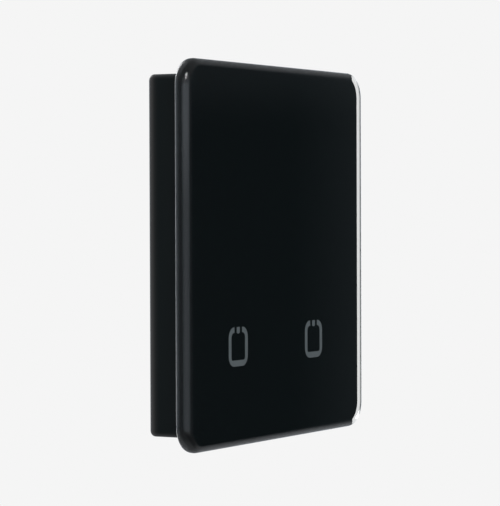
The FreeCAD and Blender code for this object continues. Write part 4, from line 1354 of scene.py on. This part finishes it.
@dataclass
class BatteryDrawer:
    """The battery tray and the coin cell in it."""

    cap_diameter: float = 17.6
    cap_lip: float = 0.3
    cap_soft: float = 0.12
    cap_height: float = 0.42
    hub: float = 2.0
    dish: float = 0.05
    ring: Flat = (1.4, 1.2)
    gasket: Flat = (-0.2, 0.35)
    seam: Flat = (0.3, 0.5)
    crimp: float = 0.3
    crimp_rise: float = 0.04
    edge_round: float = 0.5
    edge_land: float = 0.1
    face_step: Flat = (1.5, 1.7)
    steps: int = 96
    crimp_steps: int = 6
    edge_steps: int = 8

    def build(self) -> None:
        """Builds and dresses the tray and its cell."""
        dress({"battery_tray": TRAY_BLACK})
        self.cell()

    def cell(self) -> None:
        """The coin cell: a drawn can over a stepped cap, with a dark gasket between."""
        box = box_of("coin_cell")
        middle, back, front = box.middle, box.back, box.front
        radius, cap = box.width / 2, self.cap_diameter / 2
        low, high = (back + depth for depth in self.seam)
        land = [(self.hub, back + self.dish), (cap - self.ring[0], back + self.dish)]
        land += [(cap - self.ring[1], back), (cap - self.cap_lip, back), (cap, back + self.cap_soft)]
        land += [(cap, back + self.cap_height), (self.hub, back + self.cap_height)]
        inner, outer = (cap + reach for reach in self.gasket)
        can = [(self.hub, high), (cap + self.seam[0], high), (cap + self.seam[1], low)]
        can.append((radius - self.crimp - self.dish, low + self.crimp_rise))
        crimped = (radius - self.crimp, low + self.crimp_rise + self.crimp)
        can += arc(crimped, self.crimp, -90, 0, self.crimp_steps)
        rounded = (radius - self.edge_round, front - self.edge_round)
        can += arc(rounded, self.edge_round, 0, 90, self.edge_steps)
        can += [(radius - self.edge_round - self.edge_land, front), (cap - self.ring[0], front)]
        can += [(cap - self.face_step[0], front), (cap - self.face_step[1], front - self.dish)]
        can += [(cap - self.face_step[1] - self.edge_land, front - self.dish), (self.hub, front - self.dish)]
        shape = Shape()
        shape.lathe(land, middle, self.steps)
        shape.lathe([(outer, low), (outer, high), (inner, high), (inner, low)], middle, self.steps, 1)
        shape.lathe(can, middle, self.steps)
        shape.piece("coin_cell_can", "coin_cell", Body.DRAWER, "cell_steel", CELL_STEEL, SLEEVE_RUBBER)


@dataclass
class WallMount:
    """The plate on the wall with its steel discs and foam pads."""

    pad_corner: float = 1.0
    pad_margin: float = 0.1
    pad_waist: float = 0.08
    liner: float = 0.08
    steps: int = 6

    def build(self) -> None:
        """Builds and dresses every piece that stays on the wall."""
        dress({"wall_plate": WALL_BLACK, "keeper_discs": DISC_STEEL})
        self.pads()

    def pads(self) -> None:
        """The two foam pads with slightly drawn-in sides, each with its paper liner."""
        shape = Shape()
        for pad in solids_of("adhesive_pads"):
            liner = pad.back + self.liner
            for start, end, slot, waist in (
                (liner, pad.front, 0, self.pad_waist),
                (pad.back, liner, 1, 0.0),
            ):
                rows = []
                for share, inset in ((0.0, 0.0), (0.25, waist), (0.75, waist), (1.0, 0.0)):
                    drawn = 2 * (self.pad_margin + inset)
                    corner = self.pad_corner - inset
                    flat = rounded_outline(pad.width - drawn, pad.height - drawn, corner, self.steps)
                    rows.append(row(flat, start + (end - start) * share, pad.middle))
                shape.skin(rows, slot)
        pads = shape.piece("foam_pads", "adhesive_pads", Body.WALL, "pad_foam", PAD_FOAM, PAD_LINER)


class Direction:
    """The direction that the world is looked at in."""

    def __init__(self, nodes: Nodes) -> None:
        """Reads the direction.

        Args:
            nodes: the world's nodes.
        """
        self.x, self.y, self.z = nodes.split(nodes.node("TexCoord").outputs["Generated"])
        self.down = self.z * -1.0
        # The level part is divided by, so it never comes down to zero.
        self.level = distance(self.x, self.y).peak(0.01)

    def toward(self, azimuth: float) -> Value:
        """How nearly it has an azimuth, in degrees from +X to +Y: from 1 down to -1."""
        turn = math.radians(azimuth)
        return (self.x * math.cos(turn) + self.y * math.sin(turn)) / self.level


@dataclass(frozen=True)
class Rise:
    """Light that comes on smoothly: where it starts, where it is full, and its level there."""

    start: float
    full: float
    level: float = 1.0

    def over(self, value: Value) -> Value:
        """The light at each value."""
        return value.step(self.start, self.full) * self.level


@dataclass(frozen=True)
class Panel(Rise):
    """Light that comes from one azimuth."""

    azimuth: float = 0.0

    def seen(self, way: Direction) -> Value:
        """The light in each direction."""
        return self.over(way.toward(self.azimuth))


@dataclass
class Surroundings:
    """White backdrop, even light, and a studio's bright and dim sides for reflections."""

    white: float = 0.913
    even: Colour = (0.62, 0.62, 0.62)
    backdrop: Panel = Panel(0.6, 0.93, 0.42, 28.6)
    paper_azimuth: float = 45.0
    paper_edge: float = 0.292
    paper_curve: float = 1.5
    paper_gain: float = 8.0
    paper_top: Rise = Rise(0.06, 0.36, 0.7)
    paper_foot: Rise = Rise(0.06, 0.4, 0.7)
    right_wall: Panel = Panel(0.4, 1.0, 0.65, 85.0)
    left_wall: Panel = Panel(0.3, 0.8, 0.25, 170.0)
    softbox: Panel = Panel(0.33, 1.02, 1.0, 226.0)
    softbox_height: float = 0.12
    softbox_end: Rise = Rise(0.25, 0.75)
    softbox_level: float = 0.92
    bright_foot: Rise = Rise(0.0, 0.06, 0.5)
    bright_top: Rise = Rise(0.08, 0.2)
    spill: Panel = Panel(-0.35, 0.3, 0.15, 226.0)
    ceiling: Rise = Rise(0.08, 0.45, 0.27)
    table: Rise = Rise(0.15, 0.48)
    table_level: float = 0.12
    table_lit: float = 0.3
    table_ahead: Panel = Panel(0.5, 0.85, 1.0, 0.0)
    table_under: Rise = Rise(0.65, 0.9)
    key_way: Place = (-0.552, -0.625, 0.552)
    key: Rise = Rise(0.95, 1.0, 9.0)
    dim: float = 0.035
    upper: Rise = Rise(0.03, 0.06, 0.045)
    level_tint: Colour = (0.9, 0.988, 1.085)
    steep_tint: Colour = (0.97, 0.988, 1.035)
    steep: Rise = Rise(0.1, 0.4)
    shadow: Colour = (0.0, 0.012, 0.015)

    def build(self) -> None:
        """Sets up the world."""
        world = bpy.data.worlds.new("studio")
        bpy.context.scene.world = world
        world.use_nodes = True
        nodes = Nodes(world.node_tree)
        way = Direction(nodes)
        through = nodes.ray(Ray.THROUGH)
        beyond = self.backdrop.level - self.backdrop.seen(way)
        backdrop = (1.0 - through * beyond) * self.white
        lit = nodes.blend(nodes.ray(Ray.GLOSSY), self.even, self.mirrored(nodes, way))
        paint = nodes.blend(nodes.ray(Ray.CAMERA).peak(through), lit, backdrop)
        sky = nodes.node("Background", None, {0: paint, 1: 1.0})
        nodes.node("OutputWorld", None, {0: sky.outputs[0]})

    def mirrored(self, nodes: Nodes, way: Direction) -> bpy.types.NodeSocket:
        """The room that shiny surfaces mirror.

        Args:
            nodes: the world's nodes.
            way: the direction looked in.

        Returns:
            The room's colour.
        """
        paper = (way.toward(self.paper_azimuth) - self.paper_edge).peak(0.0) ** self.paper_curve
        paper = (paper * self.paper_gain).cap(self.white)
        paper = paper * (1.0 - self.paper_top.over(way.z)) * (1.0 - self.paper_foot.over(way.down))
        side = self.right_wall.seen(way) + self.left_wall.seen(way)
        bright = self.softbox_level + self.bright_foot.over(way.z) * (1.0 - self.bright_top.over(way.z))
        ends = 1.0 - self.softbox_end.over(abs(way.z - self.softbox_height))
        softbox = self.softbox.seen(way) * ends * bright
        ahead = self.table_ahead.seen(way).peak(self.table_under.over(way.down))
        table = self.table.over(way.down) * (self.table_level + self.table_lit * ahead)
        room = paper.peak(side).peak(softbox).peak(self.spill.seen(way))
        room = room.peak(self.ceiling.over(way.z)).peak(table)
        room = room + self.dim + self.upper.over(way.z)
        key = self.key.over(way.x * self.key_way[0] + way.y * self.key_way[1] + way.z * self.key_way[2])
        tint = nodes.blend(self.steep.over(abs(way.z)), self.level_tint, self.steep_tint)
        tinted = {0: room, 1: tint, 2: self.shadow}
        toned = nodes.node("VectorMath", {"operation": "MULTIPLY_ADD"}, tinted)
        return nodes.node("VectorMath", {"operation": "ADD"}, {0: toned.outputs[0], 1: key}).outputs[0]


@dataclass(frozen=True)
class Lamp:
    """A soft area lamp that looks at the object. Its place and side are in metres, its power in watts."""

    name: str
    place: Place
    side: float
    power: float
    mirrored: bool

    def build(self) -> None:
        """Puts the lamp in its place."""
        data = bpy.data.lights.new(self.name, "AREA")
        data.size = self.side
        data.energy = self.power
        lamp = bpy.data.objects.new(self.name, data)
        lamp.location = self.place
        lamp.rotation_euler = Vector(self.place).to_track_quat("Z", "Y").to_euler()
        lamp.visible_glossy = self.mirrored
        bpy.context.scene.collection.objects.link(lamp)


@dataclass
class Studio:
    """Camera, pale floor and lamps. Places are in metres and turns in degrees."""

    camera_place: Place = (-0.50884, -0.28172, 0.011)
    yaw: float = -61.382
    pitch: float = -1.097
    roll: float = -0.19
    lens: float = 178.01
    sensor: float = 36.0
    near: float = 0.01
    floor_height: float = -0.16
    floor_reach: float = 0.8
    floor_fade: float = 0.35
    floor_cloud: float = 40.0
    floor_tones: tuple[Colour, Colour] = ((0.54, 0.54, 0.54), (0.56, 0.56, 0.56))
    floor_glow: Colour = (0.45, 0.45, 0.45)
    lamps: tuple[Lamp, ...] = (
        Lamp("key_lamp", (-0.75, -0.85, 0.75), 0.7, 9.0, False),
        Lamp("back_lamp", (0.35, 1.0, 0.6), 0.7, 4.0, True),
    )

    def build(self) -> None:
        """Sets up everything round the object."""
        self.camera()
        Surroundings().build()
        self.floor()
        for lamp in self.lamps:
            lamp.build()
        bpy.context.scene.view_settings.view_transform = "Standard"

    def camera(self) -> None:
        """The camera at the photograph's place and angle."""
        yaw, pitch, roll = (math.radians(turn) for turn in (self.yaw, self.pitch, self.roll))
        right = Vector((math.cos(yaw), math.sin(yaw), 0.0))
        ahead = Vector((-math.sin(yaw), math.cos(yaw), 0.0))
        up = Vector((0.0, 0.0, 1.0))
        view = ahead * math.cos(pitch) + up * math.sin(pitch)
        above = up * math.cos(pitch) - ahead * math.sin(pitch)
        side = right * math.cos(roll) + above * math.sin(roll)
        top = above * math.cos(roll) - right * math.sin(roll)
        data = bpy.data.cameras.new("camera")
        data.lens = self.lens
        data.sensor_width = self.sensor
        data.clip_start = self.near
        camera = bpy.data.objects.new("camera", data)
        turned = Matrix((side, top, -view)).transposed().to_4x4()
        camera.matrix_world = Matrix.Translation(self.camera_place) @ turned
        bpy.context.scene.collection.objects.link(camera)
        bpy.context.scene.camera = camera

    def floor(self) -> None:
        """A pale floor that fades into the background at its rim."""
        shape = bmesh.new()
        bmesh.ops.create_circle(shape, cap_ends=True, segments=96, radius=self.floor_reach)
        data = bpy.data.meshes.new("floor")
        shape.to_mesh(data)
        shape.free()
        material = bpy.data.materials.new("pale_floor")
        material.use_nodes = True
        nodes = Nodes(material.node_tree)
        x, y, _ = nodes.axes()
        fade = distance(x, y).step(self.floor_fade / MM, self.floor_reach / MM)
        pale = nodes.blend(nodes.noise(self.floor_cloud), *self.floor_tones)
        matt = nodes.node("BsdfDiffuse", None, {"Color": pale})
        seen = nodes.ray(Ray.CAMERA).peak(nodes.ray(Ray.THROUGH))
        glow = nodes.node("Emission", None, {"Color": (*self.floor_glow, 1.0), "Strength": seen})
        both = nodes.node("AddShader", None, {0: matt.outputs[0], 1: glow.outputs[0]})
        under = nodes.value(nodes.node("NewGeometry"), "Backfacing")
        unseen = fade.peak(nodes.ray(Ray.GLOSSY)).peak(under)
        clear = nodes.node("BsdfTransparent")
        mixed = nodes.node("MixShader", None, {0: unseen, 1: both.outputs[0], 2: clear.outputs[0]})
        nodes.node("OutputMaterial", None, {"Surface": mixed.outputs[0]})
        data.materials.append(material)
        floor = bpy.data.objects.new("floor", data)
        floor.location = (0.0, 0.0, self.floor_height)
        bpy.context.scene.collection.objects.link(floor)


def main() -> None:
    """Builds the switch and the studio."""
    logging.basicConfig(level=logging.INFO, format="%(message)s")
    for part in (GlassFront(), SwitchBody(), BatteryDrawer(), WallMount(), Studio()):
        part.build()
        LOG.info("%s is done", type(part).__name__)


if __name__ == "__main__":
    main()
